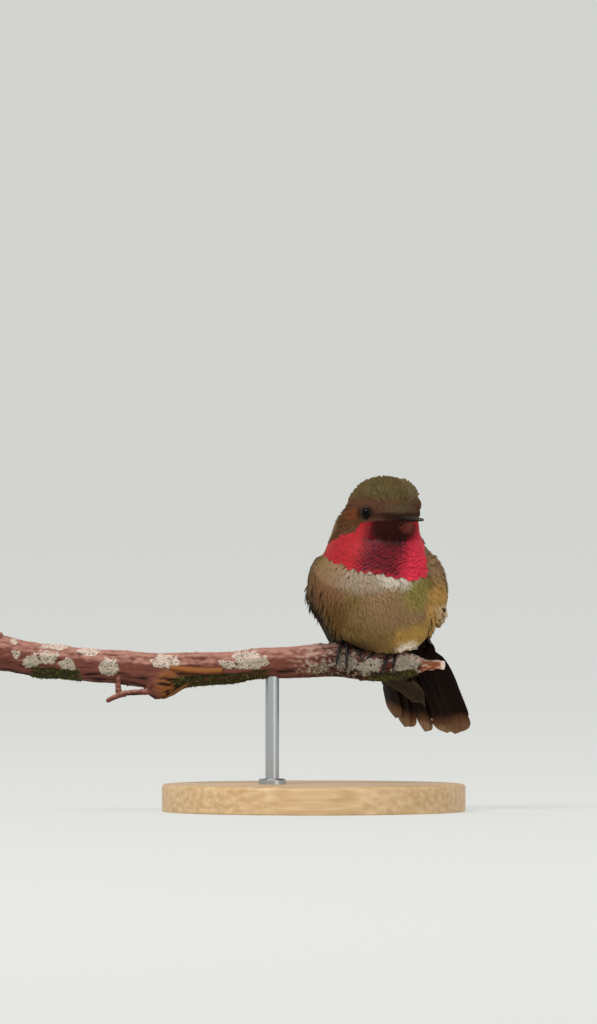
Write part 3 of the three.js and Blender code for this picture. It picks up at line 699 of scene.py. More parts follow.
def skin_at(points):
    """The skin's place, smooth normal, face and unwrap under each point."""
    places, normals, faces = np.empty_like(points), np.empty_like(points), np.empty(len(points), int)
    for i, p in enumerate(points):
        place, _, faces[i], _ = skin_tree.find_nearest(Vector(p))
        places[i] = place
        normals[i] = skin_normals[skin_faces[faces[i]]].mean(0)
    return places, unit(normals), faces


def unwrapped(places, faces):
    """Where places on the skin lie on its unwrap."""
    a, b, c = (skin_points[skin_faces[faces, k]] for k in range(3))
    area = np.linalg.norm(np.cross(b - a, c - a), axis=1)
    share_b = np.linalg.norm(np.cross(places - a, c - a), axis=1) / area
    share_c = np.linalg.norm(np.cross(b - a, places - a), axis=1) / area
    weights = np.stack([1 - share_b - share_c, share_b, share_c], 1)[..., None]
    return (skin_uv[faces] * weights).sum(1)


def scattered(spacing_at, tries):
    """Random places on the skin that keep their distance from each other, as follicles do."""
    a, b, c = (skin_points[skin_faces[:, k]] for k in range(3))
    area = np.linalg.norm(np.cross(b - a, c - a), axis=1)
    picked = rng.choice(len(skin_faces), tries, p=area / area.sum())
    r, s = rng.random((2, tries, 1))
    r = np.sqrt(r)
    points = (1 - r) * a[picked] + r * (1 - s) * b[picked] + r * s * c[picked]
    spacing = spacing_at(points)
    near = kdtree.KDTree(tries)
    for i, p in enumerate(points):
        near.insert(p, i)
    near.balance()
    free = np.ones(tries, bool)
    kept = []
    for i in range(tries):
        if free[i]:
            kept.append(i)
            for _, j, _ in near.find_range(points[i], spacing[i]):
                free[j] = False
    return points[kept], picked[kept]


# %% Grow feathers from their roots
SHAFT_STEPS = 7
BAKE_PATCH = 0.003  # how much of the unwrap one feather covers


def shaft_paths(roots, lengths, rise, arch, lift, turn):
    """Each shaft follows the skin from its root, rising to the coat's depth at its tip."""
    places, normals, _ = skin_at(roots)
    rings = []
    way = None
    for k in range(SHAFT_STEPS + 1):
        flow = lie_of_coat(places, normals)
        side = np.cross(normals, flow)
        flow = unit(flow + turn[:, None] * side)
        way = flow if way is None else lying(0.5 * way + 0.5 * flow, normals)
        u = k / SHAFT_STEPS
        height = (rise * u**arch + lift * u**2.5 - 0.12 * MM * (1 - u))[:, None]
        rings.append((places + normals * height, np.cross(normals, way), normals))
        if k < SHAFT_STEPS:
            places, normals, _ = skin_at(places + way * (lengths / SHAFT_STEPS)[:, None])
    return [np.stack(column, 1) for column in zip(*rings)]


def standing(roots, rise, lift):
    """How high each shaft rises over the skin, and how far its end lifts off the coat."""
    count = len(roots)
    rises = coat_depth(roots) * rise * rng.uniform(0.85, 1.1, count)
    rises = rises * (1 - 0.5 * ease(-skin_at(roots)[1][:, 2], 0.4, 0.95))  # pressed flat over the feet
    side, _, up = in_head(roots)
    rises = rises + 0.8 * MM * ease(side, 1.5, 5) * ease(up, -1, 2) + 0.15 * MM * ease(up, 3, 6)
    rises = rises * (1 - 0.65 * pressed(roots))
    x, y, z = ((roots - BELLY) / MM).T
    hind = ease(np.abs(upright_turn(x, y, z)), 60, 100) * (1 - ease(z, 13, 19))
    lifts = lift * rng.uniform(0.4, 1.3, count) * (1 - 0.9 * hind * (z > 12))  # no step at the nape
    return rises, lifts


def grow(roots, faces, length, width, pattern, rise=1.0, arch=0.6, lift=0.0, curl=0.12, scatter=0.5,
         base_end=0.35, thickness=0.03, stray=0.1, rim=0.06, tone=0.06, bend=0.35):
    """Feathers as one mesh part: (points, triangles, tint, unwrap, shading normals).
    Length, width, lift and thickness are in mm. arch is how soon a shaft rises to its full height:
    less than 1 is early, so that the end lies flat."""
    length, width, lift, thickness = (measure * MM for measure in (length, width, lift, thickness))
    corners, pattern_faces = pattern
    count = len(roots)
    u, v, high, loose = corners.T
    lengths = length * rng.normal(1, 0.09, count).clip(0.75, 1.3)
    widths = width * rng.normal(1, 0.08, count).clip(0.75, 1.3)
    rises, lifts = standing(roots, rise, lift)
    turns = rng.normal(0, stray, count)
    centres, sides, normals = shaft_paths(roots, lengths, rises, arch, lifts, turns)

    jitter = rng.normal(0, 1, (3, count, len(u))).clip(-1.6, 1.6)
    u_here = np.clip(u + scatter * 0.03 * loose * jitter[0] * (u > 0.3), 0, 1.06)
    v_here = v * (1 + scatter * 0.1 * loose * jitter[1])
    place = np.clip(u_here, 0, 1) * SHAFT_STEPS
    k = np.minimum(place.astype(int), SHAFT_STEPS - 1)
    share = (u_here * SHAFT_STEPS - k)[..., None]
    row = np.arange(count)[:, None]
    centre, side, normal = (
        field[row, k] * (1 - share) + field[row, k + 1] * share
        for field in (centres, sides, normals))
    fold = -curl * v_here**2 * widths[:, None] + thickness * high
    fold = fold + scatter * 0.02 * MM * loose * jitter[2]
    points = centre + side * (v_here * widths[:, None])[..., None] + normal * fold[..., None]

    tips, bases, red = markings(centres[:, 5])
    tones = rng.normal(1, tone, (count, 1, 1)).clip(0.8, 1.25)
    dark_end = np.maximum(base_end, (base_end + 0.14 * red) * (red > 0))[:, None]
    reach = ease(u_here, dark_end - 0.15, dark_end + 0.1)[..., None]
    tint = bases[:, None] * (1 - reach) + tips[:, None] * reach
    tint = tint * tones * (1 - rim * (np.abs(v_here) > 0.55)[..., None])
    tint = tint * (1 + 0.05 * scatter * jitter[0][..., None] * loose[None, :, None])

    patch = BAKE_PATCH * np.stack([u - 0.5, 0.5 * v], 1)
    uv = unwrapped(roots, faces)[:, None] + patch[None]
    index = pattern_faces[None] + (np.arange(count) * len(u))[:, None, None]
    # Barbs blend into their neighbours, so light falls on them as on the coat as a whole.
    shading = unit(normal + side * (bend * v_here)[..., None])
    return [points.reshape(-1, 3), index.reshape(-1, 3), tint.reshape(-1, 3), uv.reshape(-1, 2),
            shading.reshape(-1, 3)]


# %% [markdown]
# ## The coat
# Feathers are smallest around the bill and the eyes, short and neat on the crown, broad and flat on
# the throat, and long and loose on a belly that is puffed up against the cold. Each region is a
# piece of its own with its own pattern. Roots are spread with a least distance between them, so no
# grid shows. Only the throat has real rows, as on the bird: its scales lie in slanting lines.

# %% Which region each root belongs to
SPACING = {"face": 0.27, "crown": 0.38, "shoulder": 0.8, "edge": 0.6, "back": 0.5, "fluff": 0.42,
           "vent": 0.5}
BODY_SPACING = 0.42
TRIES = 260000  # places that are tried, of which most are too close to another
BARE_BILL = 0.7 * MM  # no feather grows closer than this to the foot of the bill
BARE_EYE = 1.7 * MM  # nor to the middle of an eye
BARE_LIDS = 1.75 * MM  # nor to the front of its cornea


def regions(points):
    """Named masks of the coat's regions, drawn by mm from the belly's middle and turns in degrees."""
    x, y, z = ((points - BELLY) / MM).T
    _, ahead, up = in_head(points)
    turn = upright_turn(x, y, z)
    near_eye, near_bill = near_openings(points)
    face = (near_eye < 3.4) | (near_bill < 3.0) | ((ahead > 5.2) & (up > -5.5) & (up < 2.2) & (z > 12))
    throat = on_shield(turn, z - 1.0)[0] & ~face
    nape_edge = 12.5 + 1.6 * np.sin(np.radians(3 * turn)) * ease(np.abs(turn), 90, 120)
    crown = (z > nape_edge) & ~throat & ~face
    rest = ~(face | throat | crown)
    shoulder = rest & (turn > 54) & (turn < 118) & (z > 3.5)
    edge = rest & (turn < -72) & (turn > -130) & (z < 4.5) & (z > -10)
    fluff = rest & ~shoulder & (x > 11.6) & (z < 0.5) & (z > -6.5) & (np.abs(turn) < 100)
    vent = rest & (z < -9) & (np.abs(turn) < 92)
    back = rest & (np.abs(turn) > 92) & ~shoulder & ~edge & ~vent
    belly = rest & ~(shoulder | edge | fluff | vent | back)
    return {"face": face, "throat": throat, "crown": crown, "shoulder": shoulder, "edge": edge,
            "fluff": fluff, "vent": vent, "back": back, "belly": belly}


def spacing_at(points):
    """The least distance between two follicles at each point."""
    masks = regions(points)
    spacing = np.full(len(points), BODY_SPACING)
    for name, value in SPACING.items():
        spacing[masks[name]] = value
    return spacing * MM


roots, root_faces = scattered(spacing_at, TRIES)

# %% The throat's rows of scales
ROW_SLANT = math.radians(-33)  # the rows fall towards the bird's left
ROW_STEP = 0.66 * MM  # from one row to the next
SCALE_STEP = 0.78 * MM  # along a row
NECK_RADIUS = 10.5 * MM
ROW_REACH = 2.0  # how far the rows go round to each side, in radians


def throat_rows():
    """Roots on a slanting lattice, thrown out from the neck's axis on to the skin."""
    i, j = (n.ravel() for n in np.meshgrid(np.arange(-50, 51), np.arange(-50, 51)))
    along_row = (i + 0.5 * (j % 2)) * SCALE_STEP
    down = j * ROW_STEP
    across = along_row * math.cos(ROW_SLANT) + down * math.sin(ROW_SLANT)
    height = along_row * math.sin(ROW_SLANT) - down * math.cos(ROW_SLANT)
    across = across + rng.normal(0, 0.05 * MM, len(across))
    height = height + 11 * MM + rng.normal(0, 0.05 * MM, len(height))
    places, faces = [], []
    for s, z in zip(across, height):
        turn, high = s / NECK_RADIUS, float(ease(z / MM, 8, 16))
        if abs(turn) > ROW_REACH or not 2 < z / MM < 19:
            continue
        axis = Vector(BELLY + np.array([-0.3 + 1.45 * high, -1.4 - 1.6 * high, 0]) * MM + UP * z)
        hit, _, face, _ = skin_tree.ray_cast(axis, Vector((math.sin(turn), -math.cos(turn), 0)))
        if hit is not None:
            places.append(hit)
            faces.append(face)
    return np.array(places), np.array(faces)


row_roots, row_faces = throat_rows()
kept, laid = ~regions(roots)["throat"], regions(row_roots)["throat"]
roots = np.concatenate([roots[kept], row_roots[laid]])
root_faces = np.concatenate([root_faces[kept], row_faces[laid]])
clear = np.linalg.norm(roots - bill_face, axis=1) > BARE_BILL
for side, e in eyes.items():
    front = e + gazes[side] * EYE_RADIUS + head_ahead * 0.3 * MM
    clear &= np.linalg.norm(roots - e, axis=1) > BARE_EYE
    clear &= np.linalg.norm(roots - front, axis=1) > BARE_LIDS
roots, root_faces = roots[clear], root_faces[clear]
masks = regions(roots)
print("Follicles:", {name: int(mask.sum()) for name, mask in masks.items()})

# %% Patterns and sizes for each region
NEAT = feather_pattern(barbs=8, notch=0.25, sweep=0.14, point=0.55)
SCALE = feather_pattern(barbs=12, notch=0.07, sweep=0.06, point=0.36)
BROAD = feather_pattern(barbs=10, notch=0.16, sweep=0.12, point=0.45)
SHARP = feather_pattern(barbs=10, notch=0.3, sweep=0.16, point=0.75)
LOOSE = feather_pattern(barbs=15, notch=0.5, sweep=0.26, point=0.7)
# Length, width, lift and thickness in mm. stray turns the shafts, and scatter moves the barb tips.
COAT = {
    "face": dict(length=0.8, width=0.26, pattern=NEAT, thickness=0.015, scatter=0.3,
                 curl=0.08, tone=0.05),
    "crown": dict(length=1.4, width=0.4, pattern=NEAT, rise=1.1, lift=0.35,
                  curl=0.1, scatter=0.9, stray=0.22, tone=0.1),
    "throat": dict(length=1.9, width=0.72, pattern=SCALE, arch=0.4, base_end=0.6, curl=0.03,
                   thickness=0.015, scatter=0.25, stray=0.04, rim=0.0, tone=0.05, bend=0.2),
    "shoulder": dict(length=3.6, width=1.05, pattern=SHARP, lift=0.3, rim=0.16,
                     scatter=0.6, rise=0.9),
    "edge": dict(length=3.4, width=0.62, pattern=SHARP, lift=1.0, scatter=0.8, stray=0.2),
    "fluff": dict(length=4.0, width=0.85, pattern=LOOSE, lift=0.8, scatter=1.2,
                  stray=0.18),
    "vent": dict(length=3.0, width=0.7, pattern=LOOSE, lift=0.3, scatter=1.2),
    "back": dict(length=2.8, width=0.9, pattern=BROAD, scatter=0.4, rim=0.1, rise=0.9,
                 arch=0.4, thickness=0.02),
    "belly": dict(length=2.8, width=0.58, pattern=LOOSE, arch=0.4, lift=0.03, scatter=0.6,
                  curl=0.05, thickness=0.012, stray=0.1, rim=0.0, tone=0.045, bend=0.15),
}
PIECE_LIMIT = 190000  # triangles that one piece holds at most; triangles, so that no piece has to be thinned out on export

coat_total = 0
for name, mask in masks.items():
    settings = COAT[name]
    per_piece = PIECE_LIMIT // len(settings["pattern"][1])
    chosen = np.flatnonzero(mask)
    for number, some in enumerate(np.array_split(chosen, math.ceil(len(chosen) / per_piece)), 1):
        points, triangles, tint, uv, shading = grow(roots[some], root_faces[some], **settings)
        finish = iridescent if name == "throat" else plumage
        piece = mesh_piece(f"{name}_feathers_{number}", points, triangles, finish, tint, {"OFBake": uv},
                           shading)
        coat_total += len(triangles)
print("Coat:", coat_total, "triangles")

# %% [markdown]
# ## Reading a line through a CAD part
# Long feathers, toes and claws all run along a line. The line is found by cutting the CAD solid with
# planes from root to tip and taking the middle of each cut. Bent parts need a few rounds, because
# the planes have to stand across the bend. The finer piece then follows that line exactly.


# %% Cut a part from root to tip
def place_on(line, points):
    """How far along a line of points each point lies, from 0 to the line's length."""
    a, b = line[:-1], line[1:]
    lengths = np.linalg.norm(b - a, axis=1)
    starts = np.concatenate([[0], np.cumsum(lengths)[:-1]])
    ways = unit(b - a)
    reach = ((points[:, None] - a[None]) * ways[None]).sum(-1)
    held = np.clip(reach, 0, lengths[None])
    held[:, 0] = np.minimum(reach[:, 0], lengths[0])
    held[:, -1] = np.maximum(reach[:, -1], 0)
    far = np.linalg.norm(points[:, None] - a[None] - held[..., None] * ways[None], axis=-1)
    best = far.argmin(1)
    return starts[best] + held[np.arange(len(points)), best]


def cut_through(node, start, count=14, rounds=4):
    """The middle line, side, half width and half thickness of a CAD part at count places."""
    points, triangles, _ = welded(node)
    pairs = np.unique(np.sort(triangles[:, [[0, 1], [1, 2], [2, 0]]].reshape(-1, 2), 1), axis=0)
    root = points[np.linalg.norm(points - start, axis=1).argmin()]
    tip = points[np.linalg.norm(points - root, axis=1).argmax()]
    line = np.array([root, (root + tip) / 2, tip])
    for _ in range(rounds):
        place = place_on(line, points)
        low, high = place.min(), place.max()
        margin = 0.01 * (high - low)
        middles, sides, halves, depths = [], [], [], []
        for level in np.linspace(low + margin, high - margin, count):
            a, b = place[pairs].T
            crossing = (a < level) != (b < level)
            share = ((level - a[crossing]) / (b[crossing] - a[crossing]))[:, None]
            cut = points[pairs[crossing, 0]] * (1 - share) + points[pairs[crossing, 1]] * share
            centred = cut - cut.mean(0)
            _, _, axes = np.linalg.svd(centred, full_matrices=False)
            side = axes[0] * (np.sign(axes[0] @ sides[-1]) if sides else 1)
            reach, depth = centred @ side, centred @ axes[1]
            middles.append(cut.mean(0) + side * (reach.max() + reach.min()) / 2)
            sides.append(side)
            halves.append(np.ptp(reach) / 2)
            depths.append(np.ptp(depth) / 2)
        line = np.array(middles)
    line[0] -= unit(line[1] - line[0]) * margin
    line[-1] += unit(line[-1] - line[-2]) * margin
    return line, np.array(sides), np.array(halves), np.array(depths)


def resampled(values, count):
    """The same values read smoothly at more places."""
    old, new = np.linspace(0, 1, len(values)), np.linspace(0, 1, count)
    flat = values.reshape(len(values), -1)
    fine = np.stack([np.interp(new, old, column) for column in flat.T], 1)
    for _ in range(max(1, count // len(values))):
        fine[1:-1] = 0.25 * fine[:-2] + 0.5 * fine[1:-1] + 0.25 * fine[2:]
    return fine.reshape(count, *values.shape[1:])


def facing(line, sides, outward):
    """Unit ways, sides and faces along a line. outward is roughly where the faces look."""
    ways = unit(np.gradient(line, axis=0))
    sides = unit(sides - dot(sides, ways) * ways)
    faces = np.cross(ways, sides)
    flip = np.sign((faces * outward).sum())
    return ways, sides * flip, faces * flip


# %% [markdown]
# ## Long feathers
# Tail and wing feathers are single vanes big enough to model one by one: a raised shaft, a web on
# each side, a rounded tip, and a few splits where barbs have come apart. Ten tail feathers stand in a
# narrow fan. On each wing nine primaries and six secondaries lie folded.


# %% A long feather
WEB = np.array([-1, -0.93, -0.66, -0.36, -0.1, -0.04, 0.04, 0.1, 0.36, 0.66, 0.93, 1])
RACHIS = 0.14 * MM
WEB_THICKNESS = 0.07 * MM
QUILL = 0.95  # how wide a vane starts, as a share of its full width
SPLITS = 2


def long_feather(line, sides, faces, half, tint_at, rows=64, tip=1.2):
    """(points, triangles, tint, vane map) of one closed vane. half is the width of each web, and tip
    is the length of the rounded end in half widths."""
    line, half = resampled(line, rows), resampled(half, rows)
    sides, faces = unit(resampled(sides, rows)), unit(resampled(faces, rows))
    steps = np.linalg.norm(np.diff(line, axis=0), axis=1)
    places = np.concatenate([[0], np.cumsum(steps)])
    length = places[-1]
    # Rows stand closer together towards the tip, so that its end is a smooth curve.
    u = 1 - (1 - np.linspace(0, 1, rows)) ** 1.7
    line, sides, faces = (
        np.stack([np.interp(u * length, places, column) for column in a.T], 1)
        for a in (line, sides, faces))
    half = np.interp(u * length, places, half)
    tip_share = min(tip * half.max() / length, 0.4)
    rounding = np.clip(1 - np.clip(1 - (1 - u) / tip_share, 0, 1) ** 2.4, 0.001, 1) ** 0.55
    width = rounding * (QUILL + (1 - QUILL) * ease(u, 0.0, 0.2))
    teeth = np.where(np.arange(rows) % 2, 0.975, 1.0)
    for where in rng.uniform(0.35, 0.93, SPLITS):
        teeth = teeth * (1 - 0.12 * np.exp(-(((u - where) * rows / 1.2) ** 2)) * rng.choice([0.4, 1]))
    web = half[:, None] * WEB * width[:, None]
    edge = np.abs(WEB) > 0.9
    web[:, edge] *= teeth[:, None]
    shaft = (np.abs(WEB) < 0.05) * RACHIS * (1.05 - u[:, None])
    high = WEB_THICKNESS * (1 - WEB**4) + shaft
    camber = -0.1 * (WEB**2) * half[:, None]
    ways = unit(np.gradient(line, axis=0))
    surface = line[:, None] + sides[:, None] * web[..., None] + faces[:, None] * camber[..., None]
    surface = surface + ways[:, None] * (0.35 * np.abs(web) * (1 - u[:, None]))[..., None]
    top = surface + faces[:, None] * high[..., None]
    under = surface - faces[:, None] * (high * 0.8)[..., None]
    points, triangles = capped(np.concatenate([top, under[:, ::-1][:, 1:-1]], 1))
    columns = np.concatenate([WEB, WEB[::-1][1:-1]])
    across_mm = np.concatenate([web, web[:, ::-1][:, 1:-1]], 1) / MM
    u_all = np.repeat(u, len(columns))
    v_all = np.tile(columns, rows)
    tint = tint_at(u_all, v_all)
    stripes = np.stack([u_all * length / MM - 0.9 * np.abs(across_mm.ravel()), v_all], 1)
    ends = [0, -1]
    tint, stripes = (np.concatenate([values, values[ends]]) for values in (tint, stripes))
    return [points, triangles, tint, stripes]


# %% Tail feathers, blackish with pale cinnamon tips
TAIL_DARK = linear("#140806")
TAIL_EDGE = linear("#1d0e0c")
TAIL_RUST = linear("#6a4a34")
TAIL_PALE = linear("#a88a6c")
TAIL_SAG = np.array([-0.5, 0, -0.9]) * MM  # how far the ends hang off the line of the quills
TAIL_PUSH = np.array([1.6, 0, 0]) * MM  # the stub of the branch pushes the outer feathers apart
tail_back = unit(np.cross(tail_way, X - 0.6 * Y))
tail_back = tail_back * np.sign(tail_back[1])


def tail_tint(pale_from, pale):
    """Colours of one tail feather, whose pale tip starts at pale_from along it."""
    def tint(u, v):
        reach = u - 0.03 * v**2
        colour = layered(
            TAIL_DARK, (TAIL_EDGE, ease(np.abs(v), 0.5, 1)),
            (TAIL_RUST, ease(reach, pale_from - 0.1, pale_from + 0.02)),
            (pale, ease(reach, pale_from, pale_from + 0.07)))
        return colour * (1 - 0.3 * (np.abs(v) < 0.06))[:, None]
    return tint


def inner_half(halves):
    """Half widths without the taper of the CAD tip, which the vane rounds off by itself."""
    widest = np.maximum.accumulate(halves)
    return np.where(np.arange(len(halves)) > 0.7 * len(halves), widest, halves)


for node in tail_nodes:
    line, sides, halves, _ = cut_through(node, tail_start, count=18)
    _, sides, faces = facing(line, sides, -tail_back)
    half = 1.1 * inner_half(halves)
    pale = mix(TAIL_PALE, TAIL_RUST, 0.2 * int(node[-1]) - 0.2)  # the outer feathers are rustier
    tint_at = tail_tint(0.86 + rng.uniform(-0.015, 0.015), pale)
    points, triangles, tint, stripes = long_feather(line, sides, faces, half, tint_at)
    along = dot(points - tail_start, tail_way) / MM
    hanging = points + ease(along, 9, 24) * TAIL_SAG
    if node.endswith(("left_4", "left_5")):
        hanging = hanging + (1 - ease(along, -3, 9)) * TAIL_PUSH
    name = node.replace("feather", "vane")
    piece = mesh_piece(name, hanging, triangles, vanes, tint, {"Vane": stripes})
    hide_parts(node)
print("Tail: 10 feathers")

# %% Folded wings
WING_DARK = linear("#2a221c")
WING_PALE = linear("#4a3d30")
WING_SHAFT = linear("#15100c")
WING_EDGE = linear("#6a5a48")


def wing_tint(u, v):
    """Dark vanes, paler along their edges and towards the tips, with a darker shaft."""
    return layered(
        WING_DARK, (WING_PALE, 0.4 * ease(u, 0.55, 1)), (WING_EDGE, 0.7 * ease(np.abs(v), 0.9, 1.0)),
        (WING_SHAFT, (np.abs(v) < 0.06) * 0.7))


STACK = 0.9 * MM  # how thick the folded feathers lie on each other
WING_ROOT = np.array([0, -0.004, 0.007])  # the shoulder, from the middle of the wing's coverts


def fan_of(node, shoulder, count, shortest, spread, web):
    """Feathers that fill one CAD strip, each resting on the next longer one. The longest lies along
    the outer edge, and each vane's half width is web of the strip's."""
    line, sides, halves, _ = cut_through(node, shoulder, count=18)
    _, sides, faces = facing(line, sides, line - BELLY)
    halves = inner_half(halves)
    steps = np.arange(len(line))
    parts = []
    for share in np.linspace(0, 1, count):
        end = shortest + (1 - shortest) * share
        places = np.linspace(0, end, len(line)) * (len(line) - 1)
        here, side, face = (
            np.stack([np.interp(places, steps, column) for column in a.T], 1)
            for a in (line, sides, faces))
        half = np.interp(places, steps, halves)
        u = places / (len(line) - 1)
        shift = spread * (2 * share - 1) * (1 - 0.75 * u**3)
        stack = (0.5 - share) * STACK
        centre = here + side * (shift * half)[:, None] + face * stack
        room = web * half * (1 + 0.4 * u**3)
        parts.append(long_feather(centre, side, face, room, wing_tint, rows=48, tip=1.6))
    return joined(parts)


for side in ("left", "right"):
    shoulder = middle(f"wing_{side}_coverts") + WING_ROOT
    for kind, count, shortest, spread, web in (
            ("primaries", 9, 0.55, 0.55, 0.5), ("secondaries", 6, 0.6, 0.5, 0.55)):
        node = f"wing_{side}_{kind}"
        vane = fan_of(node, shoulder, count, shortest, spread, web)
        low = ease(BELLY[2] - vane[0][:, 2], 0, 8 * MM)
        vane[0][:, 0] -= 0.07 * low * (vane[0][:, 0] - BELLY[0])  # the tips tuck in under the flanks
        piece = mesh_piece(f"{node}_vanes", *vane[:2], vanes, vane[2], {"Vane": vane[3]})
        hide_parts(node)
print("Wings: 9 primaries and 6 secondaries on each side")

# %% [markdown]
# ## Bill and eyes
# The bill is two horn sheaths that meet along the gape. It is narrow and straight, and blunt at the
# very tip. Each eye is one polished ball set in the head, with a thin bare rim of lid around it. The
# rim hides the edge where ball and feathers would otherwise just cross.

# %% The bill
BILL_DARK = linear("#17100e")
BILL_BASE = linear("#2a1c17")
BILL_HALF_WIDTH = 0.8 * MM
BILL_HALF_HEIGHT = 0.72 * MM
BILL_FLAT = 0.06 * MM  # least height of a half, where the two lie against each other


def bill_half(upward, rows=70, sides=24):
    """The upper half of the bill (upward is 1), with a soft ridge, or the lower half (-1)."""
    t = np.linspace(0, 1, rows)
    line = bill_root + (bill_tip - bill_root) * t[:, None]
    size = 1 - 0.55 * t**1.2
    blunt = np.sqrt(np.clip(1 - np.clip((t - 0.94) / 0.06, 0, 1) ** 2, 0.01, 1))
    turn = np.linspace(0, 2 * np.pi, sides, endpoint=False)
    across, over = np.cos(turn), np.sin(turn)
    ridge = 1 + 0.12 * np.exp(-((across / 0.35) ** 2)) * (upward > 0)
    reach = BILL_HALF_WIDTH * (size * blunt)[:, None] * across[None]
    height = np.maximum(BILL_HALF_HEIGHT * (size * blunt)[:, None] * (over * ridge)[None], BILL_FLAT)
    line = line + UP * (0.1 * MM * (t**3))[:, None] * (0 if upward > 0 else 1)
    rings = line[:, None] + head_left * reach[..., None] + UP * (upward * height)[..., None]
    points, triangles = capped(rings)
    shade = np.clip((np.linalg.norm(points - bill_root, axis=1) / MM - 1.5) / 3, 0, 1)
    return points, triangles, mix(BILL_BASE, BILL_DARK, shade)


for name, upward in (("bill_upper", 1), ("bill_lower", -1)):
    points, triangles, tint = bill_half(upward)
    piece = mesh_piece(name + "_horn", points, triangles, horn, tint)
    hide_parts(name)

# %% Eyes with their lids
PUPIL = linear("#020101")
IRIS = linear("#1c0e08")
LID = linear("#452e26")
LID_EDGE = linear("#1a1010")


def eye_axes(gaze):
    """Three axes of an eye: the way it looks, and the level and upright across it."""
    level = unit(np.cross(UP, gaze))
    return gaze, level, np.cross(gaze, level)


def eyeball(centre, gaze):
    """A ball with the cornea's slight bulge, and the pupil and iris painted on."""
    axis, level, rise = eye_axes(gaze)
    polar = np.linspace(0.02, math.pi - 0.02, 48)
    bulge = EYE_RADIUS * (1 + 0.05 * (1 - ease(polar, 0.2, 0.9)))
    rings = centre + bulge[:, None, None] * (
        np.cos(polar)[:, None, None] * axis + np.sin(polar)[:, None, None] * around(level, rise, 64))
    points, triangles = capped(rings)
    angle = np.arccos(np.clip(unit(points - centre) @ axis, -1, 1))
    tint = mix(PUPIL, IRIS, ease(angle, 0.42, 0.5))
    return points, triangles, tint


def lid_ring(centre, gaze, opening, wide, high, seed):
    """A soft rim around the opening, slightly pointed at the front and back corners."""
    axis, level, rise = eye_axes(gaze)
    turn = np.linspace(0, 2 * math.pi, 96, endpoint=False)
    corner = np.abs(np.cos(turn)) ** 6
    polar = opening + 0.1 * corner + 0.012 * np.sin(9 * turn + seed)
    out = around(level, rise, 96)
    ray = np.cos(polar)[:, None] * axis + np.sin(polar)[:, None] * out
    slope = -np.sin(polar)[:, None] * axis + np.cos(polar)[:, None] * out
    section = np.linspace(0, 2 * math.pi, 12, endpoint=False)
    crease = 1 + 0.12 * np.sin(26 * turn + seed)[:, None]
    height = EYE_RADIUS * 1.015 + high * np.sin(section)[None, :] * crease
    rings = (centre + ray[:, None] * height[..., None]
             + slope[:, None] * (wide * np.cos(section)[None, :, None]))
    points = rings.reshape(-1, 3)
    triangles = grid_faces(97, 12) % len(points)
    tint = mix(LID_EDGE, LID, np.tile(ease(np.cos(section), -0.9, 0.3), 96))
    points, triangles = outside_out(points, triangles)
    return points, triangles, tint


for side, centre in eyes.items():
    points, triangles, tint = eyeball(centre, gazes[side])
    piece = mesh_piece(f"eyeball_{side}", points, triangles, cornea, tint)
    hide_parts(f"eye_{side}")
    lids = joined([
        lid_ring(centre, gazes[side], OPENING, 0.12 * MM, 0.09 * MM, 0.4),
        lid_ring(centre, gazes[side], OPENING + 0.15, 0.18 * MM, 0.1 * MM, 2.1),
    ])
    mesh_piece(f"eyelids_{side}", *lids[:2], scales, lids[2])
print("Eyes", round(2 * EYE_RADIUS / MM * math.sin(OPENING), 1), "mm across the lids")

# %% [markdown]
# ## Legs, toes and claws
# A hummingbird's feet are tiny: a short leg half hidden in down, three toes forward and one back.
# Rings of scutes overlap down the front, soft pads lie under the joints, and each claw is a thin
# hook. They are dark, so small highlights on the rings do most of the work.

# %% Feet
LEG_DARK = linear("#0e0705")
LEG_PALE = linear("#20150f")
CLAW_ROOT = 0.27 * MM  # a claw's radius where it leaves the toe
CLAW_DARK = linear("#120d0c")
SCUTE = 0.34 * MM  # length of one scute along a toe


def scaly_rod(node, start, claw=False, rows=44, sides=16):
    """A leg or toe ringed with scutes, or a smooth pointed claw, along the middle of a CAD part."""
    line, _, halves, depths = cut_through(node, start, count=12)
    line = resampled(line, rows)
    ways = unit(np.gradient(line, axis=0))
    u = np.linspace(0, 1, rows)
    if claw:
        radius = CLAW_ROOT * (1 - 0.88 * u**0.9)
    else:
        pads = sum(np.exp(-(((u - where) / 0.06) ** 2)) for where in (0.3, 0.62, 0.93))
        radius = resampled(np.sqrt(halves * depths), rows) * (0.95 + 0.14 * pads)
    side = unit(np.cross(ways, np.array([0.3, 0.9, 0.4])))
    top = np.cross(ways, side)
    length = np.linalg.norm(np.diff(line, axis=0), axis=1).sum()
    step = (u * length / SCUTE) % 1
    if not claw:
        radius = radius * (1 + (0.09 * (1 - step) - 0.03))
    rings = line[:, None] + radius[:, None, None] * around(side, top, sides)
    points, triangles = capped(rings)
    if claw:
        tint = mix(CLAW_DARK, LEG_DARK, np.repeat(1 - u, sides) * 0.5)
    else:
        tint = mix(LEG_PALE, LEG_DARK, ease(np.repeat(step, sides), 0.0, 0.6))
    return points, triangles, np.concatenate([tint, tint[[0, -1]]])


TOES = ("front_inner", "front_middle", "front_outer", "back")
for side in ("left", "right"):
    hub = middle(f"leg_{side}")
    rods = [(f"shank_{side}", f"leg_{side}", hub + UP * 0.01)]  # each with the place it starts from
    for toe in TOES:
        rods.append((f"toe_skin_{side}_{toe}", f"toe_{side}_{toe}", hub))
        rods.append((f"claw_horn_{side}_{toe}", f"claw_{side}_{toe}", middle(f"toe_{side}_{toe}")))
    for name, node, start in rods:
        claw = name.startswith("claw")
        points, triangles, tint = scaly_rod(node, start, claw)
        piece = mesh_piece(name, points, triangles, horn if claw else scales, tint)
        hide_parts(node)
print("Feet: 2 shanks, 8 toes and 8 claws")

